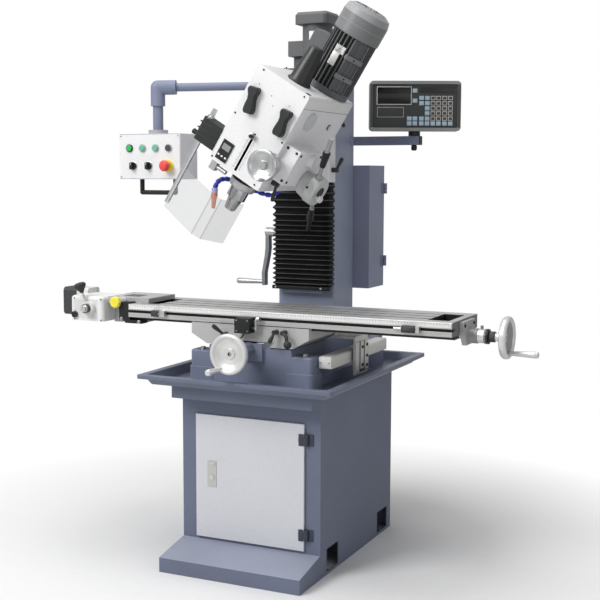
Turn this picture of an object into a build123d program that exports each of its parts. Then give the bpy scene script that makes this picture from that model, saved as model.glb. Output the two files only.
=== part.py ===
from build123d import *
import math
import os

os.makedirs("parts", exist_ok=True)

# Milling drilling machine on a cabinet stand. Millimetres: X right along the table,
# Y to the back, Z up, origin on the floor at the centre of the stand.

# Fits
SLIDE_GAP = 0.3
RUN_GAP = 0.1
FACE_GAP = 0.5
SEAM = 0.2

# Cabinet stand
STAND_W = 542
STAND_D = 678
STAND_H = 651
SHEET = 4
TOE_REACH = 169
TOE_FRONT_H = 51
TOE_BACK_H = 83
HEADER_REACH = 75
HEADER_H = 48
HEADER_DROP = 13
DOOR_W = 424
DOOR_H = 445
DOOR_Z = 94
DOOR_T = 8
DOOR_LAP = 12
FORK_W = 104
FORK_H = 82
FORK_Z = 10
FORK_PITCH = 481
FOOT = 92
FOOT_T = 8
ANCHOR_R = 7
HINGE_R = 7
HINGE_PIN_R = 3
HINGE_H = 41

# Chip tray
TRAY_W = 746
TRAY_D = 926
TRAY_MID_Y = -22
TRAY_SHEET = 4
TRAY_RIM_Z = 674
TRAY_RIM_H = 13
TRAY_RIM_W = 26
TRAY_SLOPE = 14

# Base, saddle and table
BASE_W = 450
BASE_FRONT = -340
BASE_BACK = 330
BASE_H = 135
FOOT_H = 112
TIER_H = 54
FOOT_ROUND = 16
Y_WAY_H = 22
Y_WAY_TOP_W = 190
Y_WAY_NECK_W = 150
Y_SCREW_R = 11
Y_SCREW_L = 500
Y_SCREW_DROP = 26
SADDLE_W = 456
SADDLE_FRONT = -345
SADDLE_BACK = -40
SADDLE_LIFT = 4
SADDLE_H = 63
SADDLE_LIP = 10
X_WAY_H = 27
X_WAY_TOP_W = 145
X_WAY_NECK_W = 124
X_SCREW_R = 12.5
TABLE_L = 1221
TABLE_W = 280
TABLE_H = 47
TABLE_LEFT = -491
TABLE_FRONT = -348
JAW_H = 12
JAW_W = 220
T_SLOT_W = 14
T_SLOT_FOOT_W = 24
T_SLOT_NECK_H = 12
T_SLOT_FOOT_H = 12
T_SLOT_PITCH = 63
STOP_GROOVE_H = 10
STOP_GROOVE_D = 8
WHEEL_R = 70
WHEEL_RIM = 8
GRIP_R = 11
JOURNAL_R = 9

# Column and lift
COLUMN_W = 232
COLUMN_FRONT = 122
COLUMN_BACK = 315
COLUMN_TOP = 1768
Z_WAY_FRONT = 92
Z_WAY_FRONT_W = 170
Z_WAY_NECK_W = 136
Z_WAY_BOTTOM = 940
Z_CHANNEL_W = 64
Z_SCREW_Y = 150
Z_SCREW_R = 14
CRANK_Z = 1164
CRANK_DROP = 194
CRANK_SHAFT_R = 12
BELLOWS_BOTTOM = 967
BELLOWS_W = 240
BELLOWS_FRONT = 68
BELLOWS_FOLD = 9
PIVOT_Z = 1504
CARRIAGE_W = 240
CARRIAGE_FRONT = 62
CARRIAGE_DOWN = 147
CARRIAGE_UP = 136
CABINET_W = 360
CABINET_D = 153
CABINET_Z = 945
CABINET_H = 476
CABINET_SHEET = 3
CABINET_DOOR_T = 7

# Arms, control box and readout
ARM_Z = 1727
ARM_R = 16
BOX_X = -593
BOX_Y = 30
BOX_W = 276
BOX_D = 133
BOX_H = 174
BOX_Z = 1366
POST_R = 20
BUTTON_R = 12
DRO_X = 365
DRO_Y = 300
DRO_W = 340
DRO_D = 60
DRO_H = 185
DRO_Z = 1548
DRO_TURN = 25

# Tilting head: h to its right, y to the back, w along the spindle from the pivot
TILT = 32
HEAD_W = 226
HEAD_FRONT = -312
HEAD_BACK = 58
HEAD_BOTTOM = -139
HEAD_H = 325
COVER_H = 45
PANEL_T = 8
SPINDLE_Y = -205
QUILL_R = 37.5
QUILL_TRAVEL = 120
SPINDLE_R = 28
HUB_Y = -155
HUB_W = -60
HUB_SHAFT_R = 12
LEVER_REACH = 228
FINE_H = 112
FINE_W = -35
FINE_R = 55
ROD_R = 9
ROD_H = -185
ROD_Y = -300

# Derived levels
TRAY_FLOOR = STAND_H + TRAY_SHEET
BASE_TOP = TRAY_FLOOR + BASE_H
Y_WAY_TOP = BASE_TOP + Y_WAY_H
Y_SCREW_Z = Y_WAY_TOP - Y_SCREW_DROP
SADDLE_BOTTOM = BASE_TOP + SADDLE_LIFT
SADDLE_TOP = SADDLE_BOTTOM + SADDLE_H
X_WAY_TOP = SADDLE_TOP + X_WAY_H
X_SCREW_Z = SADDLE_TOP + 4
JAW_Z = SADDLE_TOP + 1
TABLE_Z = JAW_Z + JAW_H
TABLE_TOP = TABLE_Z + TABLE_H
TABLE_MID_Y = TABLE_FRONT + TABLE_W / 2
TABLE_RIGHT = TABLE_LEFT + TABLE_L
SADDLE_X = SADDLE_W / 2
STAND_X = STAND_W / 2
STAND_Y = STAND_D / 2
COLUMN_X = COLUMN_W / 2
CARRIAGE_Z = PIVOT_Z - CARRIAGE_DOWN
CARRIAGE_H = CARRIAGE_DOWN + CARRIAGE_UP
HEAD_X = HEAD_W / 2
HEAD_TOP = HEAD_BOTTOM + HEAD_H
COVER_TOP = HEAD_TOP + COVER_H
PANEL_FRONT = HEAD_FRONT - PANEL_T
BOX_TOP = BOX_Z + BOX_H
BOX_FRONT = BOX_Y - BOX_D / 2
RIGHT = Vector(math.cos(math.radians(TILT)), 0, -math.sin(math.radians(TILT)))
UP = Vector(math.sin(math.radians(TILT)), 0, math.cos(math.radians(TILT)))


def head_point(h, y, w):
    """Place of a point given in head coordinates."""
    return Vector(0, y, PIVOT_Z) + RIGHT * h + UP * w


def head_level(w, h=0, y=0):
    """Plane across the spindle axis, facing up the head."""
    return Plane(origin=head_point(h, y, w), x_dir=RIGHT, z_dir=UP)


def head_front(y, h=0, w=0):
    """Plane facing forwards, with h across and w up."""
    return Plane(origin=head_point(h, y, w), x_dir=RIGHT, z_dir=(0, -1, 0))


def head_side(h, y=0, w=0):
    """Plane facing to the right of the head, with y across and w up."""
    return Plane(origin=head_point(h, y, w), x_dir=(0, 1, 0), z_dir=RIGHT)


def outline(plane, points, height, mode=Mode.ADD):
    """Raise a closed outline of straight edges."""
    with BuildSketch(plane) as shape:
        with BuildLine():
            Polyline(*points, close=True)
        make_face()
    extrude(shape.sketch, amount=height, mode=mode)


def slab(plane, x_span, y_span, height, mode=Mode.ADD):
    """Raise a rectangle given by its two spans."""
    with BuildSketch(plane) as shape:
        with Locations(((x_span[0] + x_span[1]) / 2, (y_span[0] + y_span[1]) / 2)):
            Rectangle(x_span[1] - x_span[0], y_span[1] - y_span[0])
    extrude(shape.sketch, amount=height, mode=mode)


def disc(plane, radius, height, at=(0, 0), mode=Mode.ADD):
    """Raise a round boss or drill a round hole."""
    with BuildSketch(plane) as shape:
        with Locations(at):
            Circle(radius)
    extrude(shape.sketch, amount=height, mode=mode)


def turn(plane, points, mode=Mode.ADD):
    """Turn a profile of (radius, height) points about the normal of a plane."""
    with BuildSketch(Plane(plane.origin, x_dir=plane.x_dir, z_dir=-plane.y_dir)) as shape:
        with BuildLine():
            Polyline(*points, close=True)
        make_face()
    revolve(shape.sketch, axis=Axis(plane.origin, plane.z_dir), mode=mode)


def ball(place, radius):
    """Round knob or rounded bend."""
    with Locations(place):
        Sphere(radius)


def hinge_fixed(x, y, z):
    """Outer knuckles and pin of one door hinge."""
    disc(Plane((x, y, z)), HINGE_R, 12)
    disc(Plane((x, y, z + HINGE_H - 12)), HINGE_R, 12)
    disc(Plane((x, y, z)), HINGE_PIN_R, HINGE_H)


def hinge_bore(x, y, z):
    """Bore of the knuckle on the door."""
    disc(Plane((x, y, z)), HINGE_PIN_R + RUN_GAP, HINGE_H, mode=Mode.SUBTRACT)


# Sheet-metal stand, open below, with a toe plate, a header under the tray, fork slots and anchor feet
def stand_profile(inset, bottom):
    front = -STAND_Y + inset
    header = STAND_H - HEADER_H + inset
    return [
        (STAND_Y - inset, bottom),
        (STAND_Y - inset, STAND_H - inset),
        (front - HEADER_REACH, STAND_H - inset),
        (front - HEADER_REACH, header),
        (front, header - HEADER_DROP),
        (front, TOE_BACK_H - inset),
        (front - TOE_REACH, TOE_FRONT_H - inset),
        (front - TOE_REACH, bottom),
    ]


DOOR_FACE = -STAND_Y - 1
HINGE_X = DOOR_W / 2 + HINGE_R + 2
HINGE_Y = -STAND_Y - HINGE_R - 0.5
HINGE_LEVELS = (DOOR_Z + 36, DOOR_Z + DOOR_H - 75)
with BuildPart() as stand_cabinet:
    outline(Plane.YZ.offset(-STAND_X), stand_profile(0, 0), STAND_W)
    outline(Plane.YZ.offset(-STAND_X + SHEET), stand_profile(SHEET, -1), STAND_W - 2 * SHEET, Mode.SUBTRACT)
    slab(
        Plane.XZ.offset(STAND_Y - SHEET - 1),
        (-DOOR_W / 2 + DOOR_LAP, DOOR_W / 2 - DOOR_LAP),
        (DOOR_Z + DOOR_LAP, DOOR_Z + DOOR_H - DOOR_LAP),
        SHEET + 2,
        Mode.SUBTRACT,
    )
    with BuildSketch(Plane.YZ.offset(-STAND_X - 1)):
        with Locations((8, FORK_Z + FORK_H / 2)):
            with GridLocations(FORK_PITCH, 0, 2, 1):
                Rectangle(FORK_W, FORK_H)
    extrude(amount=STAND_W + 2, mode=Mode.SUBTRACT)
    with BuildSketch(Plane.XY):
        with GridLocations(STAND_W - FOOT, STAND_D - FOOT, 2, 2):
            Rectangle(FOOT, FOOT)
    extrude(amount=FOOT_T)
    with BuildSketch(Plane.XY):
        with GridLocations(STAND_W - FOOT, STAND_D - FOOT, 2, 2):
            Circle(ANCHOR_R)
    extrude(amount=FOOT_T, mode=Mode.SUBTRACT)
    for level in HINGE_LEVELS:
        hinge_fixed(HINGE_X, HINGE_Y, level)
        slab(Plane.XZ.offset(STAND_Y), (HINGE_X, HINGE_X + 24), (level, level + 12), 3)
        slab(Plane.XZ.offset(STAND_Y), (HINGE_X, HINGE_X + 24), (level + HINGE_H - 12, level + HINGE_H), 3)
        slab(Plane.XZ.offset(STAND_Y), (HINGE_X + 9, HINGE_X + 24), (level, level + HINGE_H), 3)
stand_cabinet.part.label = "stand_cabinet"
export_step(stand_cabinet.part, "parts/stand_cabinet.step")

# Front door with its hinge knuckles and the plate of the lock
LOCK_X = -DOOR_W / 2 + 65
LOCK_Z = DOOR_Z + 221
LOCK_R = 9
with BuildPart() as stand_door:
    slab(Plane.XZ.offset(-DOOR_FACE), (-DOOR_W / 2, DOOR_W / 2), (DOOR_Z, DOOR_Z + DOOR_H), DOOR_T)
    slab(Plane.XZ.offset(-DOOR_FACE + DOOR_T), (LOCK_X - 18, LOCK_X + 18), (LOCK_Z - 34, LOCK_Z + 60), 2)
    for level in HINGE_LEVELS:
        slab(
            Plane.XZ.offset(-DOOR_FACE + DOOR_T),
            (DOOR_W / 2 - 20, HINGE_X),
            (level + 12.4, level + HINGE_H - 12.4),
            2.5,
        )
        disc(Plane((HINGE_X, HINGE_Y, level + 12.4)), HINGE_R, HINGE_H - 24.8)
        hinge_bore(HINGE_X, HINGE_Y, level)
    disc(Plane.XZ.offset(-DOOR_FACE - 1), LOCK_R + RUN_GAP, DOOR_T + 5, (LOCK_X, LOCK_Z), Mode.SUBTRACT)
stand_door.part.label = "stand_door"
export_step(stand_door.part, "parts/stand_door.step")

# Key barrel of the door with its latch behind the sheet
with BuildPart() as door_lock:
    disc(Plane.XZ.offset(-DOOR_FACE - 9), LOCK_R, DOOR_T + 14, (LOCK_X, LOCK_Z))
    slab(Plane.XZ.offset(-DOOR_FACE - 12), (LOCK_X - 9, LOCK_X + 9), (LOCK_Z - 9, LOCK_Z + 66), 4)
    key_slot = Plane.XZ.offset(-DOOR_FACE + DOOR_T + 4)
    slab(key_slot, (LOCK_X - 1, LOCK_X + 1), (LOCK_Z - 5, LOCK_Z + 5), 2, Mode.SUBTRACT)
door_lock.part.label = "door_lock"
export_step(door_lock.part, "parts/door_lock.step")

# Chip tray with sloped walls and a folded rim
with BuildPart() as chip_tray:
    with BuildSketch(Plane.XY.offset(STAND_H)):
        with Locations((0, TRAY_MID_Y)):
            Rectangle(TRAY_W - 2 * (TRAY_RIM_W + TRAY_SLOPE), TRAY_D - 2 * (TRAY_RIM_W + TRAY_SLOPE))
    with BuildSketch(Plane.XY.offset(TRAY_RIM_Z)):
        with Locations((0, TRAY_MID_Y)):
            Rectangle(TRAY_W - 2 * TRAY_RIM_W, TRAY_D - 2 * TRAY_RIM_W)
    loft()
    with BuildSketch(Plane.XY.offset(TRAY_RIM_Z)):
        with Locations((0, TRAY_MID_Y)):
            RectangleRounded(TRAY_W, TRAY_D, 12)
    extrude(amount=TRAY_RIM_H)
    with BuildSketch(Plane.XY.offset(TRAY_FLOOR)):
        with Locations((0, TRAY_MID_Y)):
            Rectangle(
                TRAY_W - 2 * (TRAY_RIM_W + TRAY_SLOPE + TRAY_SHEET),
                TRAY_D - 2 * (TRAY_RIM_W + TRAY_SLOPE + TRAY_SHEET),
            )
    with BuildSketch(Plane.XY.offset(TRAY_RIM_Z + TRAY_RIM_H)):
        with Locations((0, TRAY_MID_Y)):
            Rectangle(TRAY_W - 2 * (TRAY_RIM_W + TRAY_SHEET - 2), TRAY_D - 2 * (TRAY_RIM_W + TRAY_SHEET - 2))
    loft(mode=Mode.SUBTRACT)
chip_tray.part.label = "chip_tray"
export_step(chip_tray.part, "parts/chip_tray.step")

# Base casting: waisted body with a dovetail, four bolt feet, screw channel and front bearing housing
BOSS_X = 239
BOSS_IN = 140
CHANNEL_X = 28
SCALE_X = BOSS_X + 6
SCALE_Z = TRAY_FLOOR + 73


def y_way(gap, bottom):
    """Cross section of the dovetail of the cross slide."""
    lean = (Y_WAY_TOP_W - Y_WAY_NECK_W) / 2 / Y_WAY_H
    neck = Y_WAY_NECK_W / 2 + lean * (bottom - BASE_TOP) + gap * 1.4
    top = Y_WAY_TOP_W / 2 + gap * 2
    return [(-neck, bottom), (-top, Y_WAY_TOP + gap), (top, Y_WAY_TOP + gap), (neck, bottom)]


with BuildPart() as machine_base:
    outline(
        Plane.XZ.offset(-BASE_FRONT),
        [
            (-BASE_W / 2, TRAY_FLOOR),
            (-BASE_W / 2, TRAY_FLOOR + 33),
            (-BASE_W / 2 + 58, TRAY_FLOOR + 57),
            (-BASE_W / 2 + 66, BASE_TOP),
            *y_way(0, BASE_TOP),
            (BASE_W / 2 - 66, BASE_TOP),
            (BASE_W / 2 - 58, TRAY_FLOOR + 57),
            (BASE_W / 2, TRAY_FLOOR + 33),
            (BASE_W / 2, TRAY_FLOOR),
        ],
        -(BASE_BACK - BASE_FRONT),
    )
    for side in (-1, 1):
        for span in ((BASE_FRONT, BASE_FRONT + 80), (BASE_BACK - 140, BASE_BACK)):
            middle = (side * (BOSS_IN + BOSS_X) / 2, (span[0] + span[1]) / 2)
            with BuildSketch(Plane.XY.offset(TRAY_FLOOR)):
                with Locations(middle):
                    RectangleRounded(BOSS_X - BOSS_IN, span[1] - span[0], FOOT_ROUND)
            extrude(amount=FOOT_H - 4)
            with BuildSketch(Plane.XY.offset(TRAY_FLOOR + FOOT_H - 4)):
                with Locations(middle):
                    RectangleRounded(BOSS_X - BOSS_IN, span[1] - span[0], FOOT_ROUND)
            extrude(amount=4, taper=40)
            with BuildSketch(Plane.XY.offset(TRAY_FLOOR)):
                with Locations(middle):
                    RectangleRounded(BOSS_X - BOSS_IN + 10, span[1] - span[0] + 10, FOOT_ROUND + 5)
            extrude(amount=TIER_H)
    channel = (Y_SCREW_Z - 34, Y_WAY_TOP)
    slab(Plane.XZ.offset(-BASE_FRONT), (-CHANNEL_X, CHANNEL_X), channel, -440, Mode.SUBTRACT)
    slab(Plane.XY.offset(BASE_TOP), (-140, 140), (COLUMN_FRONT - 10, BASE_BACK), Y_WAY_H)
    slab(Plane.XZ.offset(-BASE_FRONT), (-54, 54), (Y_SCREW_Z - 42, Y_SCREW_Z + 20), 12)
    with BuildSketch(Plane((0, BASE_FRONT, Y_SCREW_Z), x_dir=(1, 0, 0), z_dir=(0, -1, 0))):
        RegularPolygon(23, 8, major_radius=False)
    extrude(amount=90)
    disc(Plane.XZ.offset(-BASE_FRONT - 1), Y_SCREW_R + RUN_GAP, 95, (0, Y_SCREW_Z), Mode.SUBTRACT)
    for pad in ((BASE_FRONT + 44, BASE_FRONT + 72), (BASE_BACK - 132, BASE_BACK - 109)):
        slab(Plane.YZ.offset(BOSS_X - 4), pad, (SCALE_Z + 6, SCALE_Z + 34), SCALE_X - BOSS_X + 4)
machine_base.part.label = "machine_base"
export_step(machine_base.part, "parts/machine_base.step")

# Linear scale along the right side of the base
SCALE_W = 47
SCALE_H = 42
SCALE_FRONT = BASE_FRONT + 40
SCALE_L = 523
with BuildPart() as y_scale:
    scale_span = (SCALE_FRONT, SCALE_FRONT + SCALE_L)
    slab(Plane.YZ.offset(SCALE_X), scale_span, (SCALE_Z, SCALE_Z + SCALE_H), SCALE_W)
    chamfer(y_scale.edges().filter_by(Axis.Y).group_by(Axis.Z)[-1], 4)
    slab(
        Plane.YZ.offset(SCALE_X + 22),
        (SCALE_FRONT + 12, SCALE_FRONT + SCALE_L - 12),
        (SCALE_Z, SCALE_Z + 14),
        6,
        Mode.SUBTRACT,
    )
y_scale.part.label = "y_scale"
export_step(y_scale.part, "parts/y_scale.step")

# Cross feed screw with its graduated dial
DIAL_Y = BASE_FRONT - 90 - FACE_GAP
with BuildPart() as y_screw:
    turn(
        Plane((0, DIAL_Y, Y_SCREW_Z), x_dir=(1, 0, 0), z_dir=(0, -1, 0)),
        [
            (0, -Y_SCREW_L),
            (Y_SCREW_R, -Y_SCREW_L),
            (Y_SCREW_R, 0),
            (24, 0),
            (26, 6),
            (26, 22),
            (18, 24),
            (18, 30),
            (JOURNAL_R, 30),
            (JOURNAL_R, 50),
            (0, 50),
        ],
    )
y_screw.part.label = "y_screw"
export_step(y_screw.part, "parts/y_screw.step")


def wheel_profile():
    """Dished handwheel with a blind hole in its hub, a web and a round rim, heights from its back."""
    rim = WHEEL_R - WHEEL_RIM
    return [
        (JOURNAL_R, 0),
        (17, 0),
        (19, 12),
        (rim - 9, 22),
        (rim - 8, 19),
        (rim - 4, 17),
        (rim + 3, 17),
        (WHEEL_R - 2, 20),
        (WHEEL_R, 26),
        (WHEEL_R, 33),
        (WHEEL_R - 2, 38),
        (rim + 2, 41),
        (rim - 3, 41),
        (rim - 7, 38),
        (rim - 10, 33),
        (rim - 24, 25),
        (19, 21),
        (17, 25),
        (7, 25),
        (7, 20),
        (JOURNAL_R, 20),
    ]


def grip_profile(length):
    """Tapered machine handle, thicker towards its end cap."""
    return [
        (0, -5),
        (GRIP_R * 0.65, -5),
        (GRIP_R * 0.7, 4),
        (GRIP_R, length - 14),
        (GRIP_R, length - 10),
        (GRIP_R * 0.92, length - 9.5),
        (GRIP_R * 0.92, length - 8.5),
        (GRIP_R, length - 8),
        (GRIP_R * 0.95, length - 3),
        (GRIP_R * 0.7, length),
        (0, length),
    ]


# Handwheel of the cross feed
with BuildPart() as y_handwheel:
    y_hub = Plane((0, DIAL_Y - 30, Y_SCREW_Z), x_dir=(1, 0, 0), z_dir=(0, -1, 0))
    turn(y_hub, wheel_profile())
    turn(Plane((-30, DIAL_Y - 68, Y_SCREW_Z - 51), x_dir=(1, 0, 0), z_dir=(0, -1, 0)), grip_profile(86))
y_handwheel.part.label = "y_handwheel"
export_step(y_handwheel.part, "parts/y_handwheel.step")

# Saddle: dovetail groove below, dovetail above with a screw channel, both feed nuts
with BuildPart() as saddle:
    outline(
        Plane.XZ.offset(-SADDLE_FRONT),
        [
            (-SADDLE_X, SADDLE_TOP),
            (-SADDLE_X, SADDLE_TOP - 29),
            (-SADDLE_X + 62, SADDLE_BOTTOM),
            *y_way(SLIDE_GAP, SADDLE_BOTTOM),
            (SADDLE_X - 62, SADDLE_BOTTOM),
            (SADDLE_X, SADDLE_TOP - 29),
            (SADDLE_X, SADDLE_TOP),
        ],
        -(SADDLE_BACK - SADDLE_FRONT),
    )
    slab(Plane.XY.offset(SADDLE_TOP), (-SADDLE_X, SADDLE_X), (SADDLE_FRONT, SADDLE_FRONT + 23), SADDLE_LIP)
    outline(
        Plane.YZ.offset(-SADDLE_X),
        [
            (TABLE_MID_Y - X_WAY_NECK_W / 2, SADDLE_TOP),
            (TABLE_MID_Y - X_WAY_TOP_W / 2, X_WAY_TOP),
            (TABLE_MID_Y + X_WAY_TOP_W / 2, X_WAY_TOP),
            (TABLE_MID_Y + X_WAY_NECK_W / 2, SADDLE_TOP),
        ],
        SADDLE_W,
    )
    slab(
        Plane.YZ.offset(-SADDLE_X),
        (TABLE_MID_Y - 20, TABLE_MID_Y + 20),
        (X_SCREW_Z - 18, X_WAY_TOP),
        SADDLE_W,
        Mode.SUBTRACT,
    )
    slab(Plane.YZ.offset(-35), (TABLE_MID_Y - 20, TABLE_MID_Y + 20), (X_SCREW_Z - 18, X_SCREW_Z + 19), 70)
    disc(Plane.YZ.offset(-40), X_SCREW_R + RUN_GAP, 80, (TABLE_MID_Y, X_SCREW_Z), Mode.SUBTRACT)
    slab(Plane.XZ.offset(215), (-24, 24), (Y_SCREW_Z - 18, Y_WAY_TOP + 1), -60)
    disc(Plane.XZ.offset(220), Y_SCREW_R + RUN_GAP, -70, (0, Y_SCREW_Z), Mode.SUBTRACT)
saddle.part.label = "saddle"
export_step(saddle.part, "parts/saddle.step")

# Limit switch with its roller arm on the front of the saddle
with BuildPart() as limit_switch:
    slab(Plane.XZ.offset(-SADDLE_FRONT), (-37, 21), (SADDLE_TOP - 14, SADDLE_TOP + 9), 4)
    slab(Plane.XZ.offset(-SADDLE_FRONT + 4), (-37, 21), (SADDLE_TOP - 14, SADDLE_TOP + 38), 34)
    fillet(limit_switch.edges().filter_by(Axis.Y).group_by(Axis.Z)[-1], 4)
    disc(Plane.YZ.offset(21), 8, 16, (SADDLE_FRONT - 20, SADDLE_TOP + 2))
    slab(Plane.YZ.offset(37), (SADDLE_FRONT - 26, SADDLE_FRONT - 14), (SADDLE_TOP - 6, SADDLE_TOP + 38), 5)
    disc(Plane.YZ.offset(42), 9, 10, (SADDLE_FRONT - 20, SADDLE_TOP + 36))
limit_switch.part.label = "limit_switch"
export_step(limit_switch.part, "parts/limit_switch.step")

# Reader of the linear scale, hung from the right side of the saddle
READER_Y = (-130, -10)
with BuildPart() as scale_reader:
    slab(Plane.YZ.offset(SADDLE_X), READER_Y, (SADDLE_TOP - 47, SADDLE_TOP - 2), 6)
    shelf = SCALE_X + SCALE_W + 16 - SADDLE_X
    slab(Plane.YZ.offset(SADDLE_X), READER_Y, (SADDLE_TOP - 47, SADDLE_TOP - 39), shelf)
    slab(Plane.YZ.offset(SCALE_X + SCALE_W + 9), READER_Y, (SCALE_Z - 46, SADDLE_TOP - 39), 7)
    slab(
        Plane.YZ.offset(SCALE_X + SCALE_W + SLIDE_GAP + 0.5),
        (READER_Y[0] + 15, READER_Y[1] - 15),
        (SCALE_Z - 34, SCALE_Z + 18),
        9,
    )
scale_reader.part.label = "scale_reader"
export_step(scale_reader.part, "parts/scale_reader.step")


def lever_arm(start, end, thick, thin):
    """Straight round lever between two points, thicker at its end."""
    start = Vector(*start)
    end = Vector(*end)
    along = end - start
    turn(
        Plane(origin=start, z_dir=along),
        [
            (0, 0),
            (thin, 0),
            (thin, along.length * 0.3),
            (thick, along.length * 0.8),
            (thick * 0.7, along.length),
            (0, along.length),
        ],
    )


# Clamp levers on the front of the saddle
LOCK_Y = SADDLE_FRONT - FACE_GAP
with BuildPart() as table_lock_left:
    disc(Plane.XZ.offset(-LOCK_Y), 8, 26, (-88, SADDLE_TOP - 25))
    lever_arm((-88, LOCK_Y - 19, SADDLE_TOP - 25), (-124, LOCK_Y - 36, SADDLE_TOP + 8), 8, 5)
table_lock_left.part.label = "table_lock_left"
export_step(table_lock_left.part, "parts/table_lock_left.step")

with BuildPart() as table_lock_right:
    disc(Plane.XZ.offset(-LOCK_Y), 8, 26, (108, SADDLE_TOP - 6))
    lever_arm((108, LOCK_Y - 19, SADDLE_TOP - 6), (96, LOCK_Y - 36, SADDLE_TOP - 40), 8, 5)
table_lock_right.part.label = "table_lock_right"
export_step(table_lock_right.part, "parts/table_lock_right.step")

with BuildPart() as saddle_lock:
    disc(Plane.XZ.offset(-LOCK_Y), 8, 26, (140, SADDLE_TOP - 6))
    lever_arm((140, LOCK_Y - 19, SADDLE_TOP - 6), (156, LOCK_Y - 27, SADDLE_TOP - 18), 6, 6)
    ball((156, LOCK_Y - 27, SADDLE_TOP - 18), 6)
    lever_arm((156, LOCK_Y - 27, SADDLE_TOP - 18), (162, LOCK_Y - 31, SADDLE_TOP - 42), 6, 6)
    ball((163, LOCK_Y - 31, SADDLE_TOP - 44), 14)
saddle_lock.part.label = "saddle_lock"
export_step(saddle_lock.part, "parts/saddle_lock.step")

# Table with T-slots, a drain pocket at each end, stop groove and dovetail groove
POCKET_W = 73
POCKET = (TABLE_RIGHT - 25 - POCKET_W, TABLE_RIGHT - 25)
LEFT_POCKET = (TABLE_LEFT + 25, TABLE_LEFT + 25 + POCKET_W)
GROOVE_Z = TABLE_Z + 16
with BuildPart() as table:
    slab(Plane.XY.offset(TABLE_Z), (TABLE_LEFT, TABLE_RIGHT), (TABLE_FRONT, TABLE_FRONT + TABLE_W), TABLE_H)
    chamfer(table.edges().filter_by(Axis.X).group_by(Axis.Z)[-1], 2)
    slab(
        Plane.XY.offset(JAW_Z),
        (TABLE_LEFT, TABLE_RIGHT),
        (TABLE_MID_Y - JAW_W / 2, TABLE_MID_Y + JAW_W / 2),
        JAW_H,
    )
    outline(
        Plane.YZ.offset(TABLE_LEFT),
        [
            (TABLE_MID_Y - X_WAY_NECK_W / 2 - 1, JAW_Z),
            (TABLE_MID_Y - X_WAY_TOP_W / 2 - 0.6, X_WAY_TOP + SLIDE_GAP),
            (TABLE_MID_Y + X_WAY_TOP_W / 2 + 0.6, X_WAY_TOP + SLIDE_GAP),
            (TABLE_MID_Y + X_WAY_NECK_W / 2 + 1, JAW_Z),
        ],
        TABLE_L,
        Mode.SUBTRACT,
    )
    with BuildSketch(Plane.YZ.offset(LEFT_POCKET[1])):
        with Locations((TABLE_MID_Y, TABLE_TOP)):
            with GridLocations(T_SLOT_PITCH, 0, 3, 1):
                Rectangle(T_SLOT_W, T_SLOT_NECK_H, align=(Align.CENTER, Align.MAX))
        with Locations((TABLE_MID_Y, TABLE_TOP - T_SLOT_NECK_H)):
            with GridLocations(T_SLOT_PITCH, 0, 3, 1):
                Rectangle(T_SLOT_FOOT_W, T_SLOT_FOOT_H, align=(Align.CENTER, Align.MAX))
    extrude(amount=POCKET[0] - LEFT_POCKET[1], mode=Mode.SUBTRACT)
    for pocket in (LEFT_POCKET, POCKET):
        slab(
            Plane.XY.offset(TABLE_TOP),
            pocket,
            (TABLE_FRONT + 45, TABLE_FRONT + 223),
            -(T_SLOT_NECK_H + T_SLOT_FOOT_H),
            Mode.SUBTRACT,
        )
    slab(
        Plane.XZ.offset(-TABLE_FRONT),
        (TABLE_LEFT, TABLE_RIGHT),
        (GROOVE_Z, GROOVE_Z + STOP_GROOVE_H),
        -STOP_GROOVE_D,
        Mode.SUBTRACT,
    )
table.part.label = "table"
export_step(table.part, "parts/table.step")


def stop_block(x_span):
    """Adjustable stop with its tongue in the groove of the table."""
    slab(Plane.XZ.offset(-TABLE_FRONT + FACE_GAP), x_span, (GROOVE_Z - 7, GROOVE_Z + 15), 16)
    slab(
        Plane.XZ.offset(-TABLE_FRONT + FACE_GAP),
        (x_span[0] + 6, x_span[1] - 6),
        (GROOVE_Z + SLIDE_GAP, GROOVE_Z + STOP_GROOVE_H - SLIDE_GAP),
        -STOP_GROOVE_D + 1,
    )


# Adjustable stops on the front of the table
LEFT_STOP = TABLE_LEFT + 107
RIGHT_STOP = TABLE_RIGHT - 168
with BuildPart() as table_stop_left:
    stop_block((LEFT_STOP, LEFT_STOP + 54))
    disc(Plane.XZ.offset(-TABLE_FRONT + 16), 7, 7, (LEFT_STOP + 27, GROOVE_Z + 4))
table_stop_left.part.label = "table_stop_left"
export_step(table_stop_left.part, "parts/table_stop_left.step")

with BuildPart() as table_stop_right:
    stop_block((RIGHT_STOP, RIGHT_STOP + 62))
    disc(Plane.XZ.offset(-TABLE_FRONT + 16), 7, 7, (RIGHT_STOP + 38, GROOVE_Z + 4))
    disc(Plane.YZ.offset(RIGHT_STOP - 27), 5, 30, (TABLE_FRONT - 8, GROOVE_Z + 4))
table_stop_right.part.label = "table_stop_right"
export_step(table_stop_right.part, "parts/table_stop_right.step")

# Right end bracket of the table with the screw bearing
with BuildPart() as x_end_bracket:
    outline(
        Plane.YZ.offset(TABLE_RIGHT),
        [
            (TABLE_MID_Y - 62, TABLE_TOP - 6),
            (TABLE_MID_Y - 62, TABLE_Z + 6),
            (TABLE_MID_Y - 30, X_SCREW_Z - 30),
            (TABLE_MID_Y + 30, X_SCREW_Z - 30),
            (TABLE_MID_Y + 62, TABLE_Z + 6),
            (TABLE_MID_Y + 62, TABLE_TOP - 6),
        ],
        15,
    )
    turn(
        Plane((TABLE_RIGHT + 10, TABLE_MID_Y, X_SCREW_Z), x_dir=(0, 1, 0), z_dir=(1, 0, 0)),
        [(0, 0), (30, 0), (25, 16), (25, 36), (0, 36)],
    )
    disc(Plane.YZ.offset(TABLE_RIGHT - 1), X_SCREW_R + RUN_GAP, 60, (TABLE_MID_Y, X_SCREW_Z), Mode.SUBTRACT)
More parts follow.
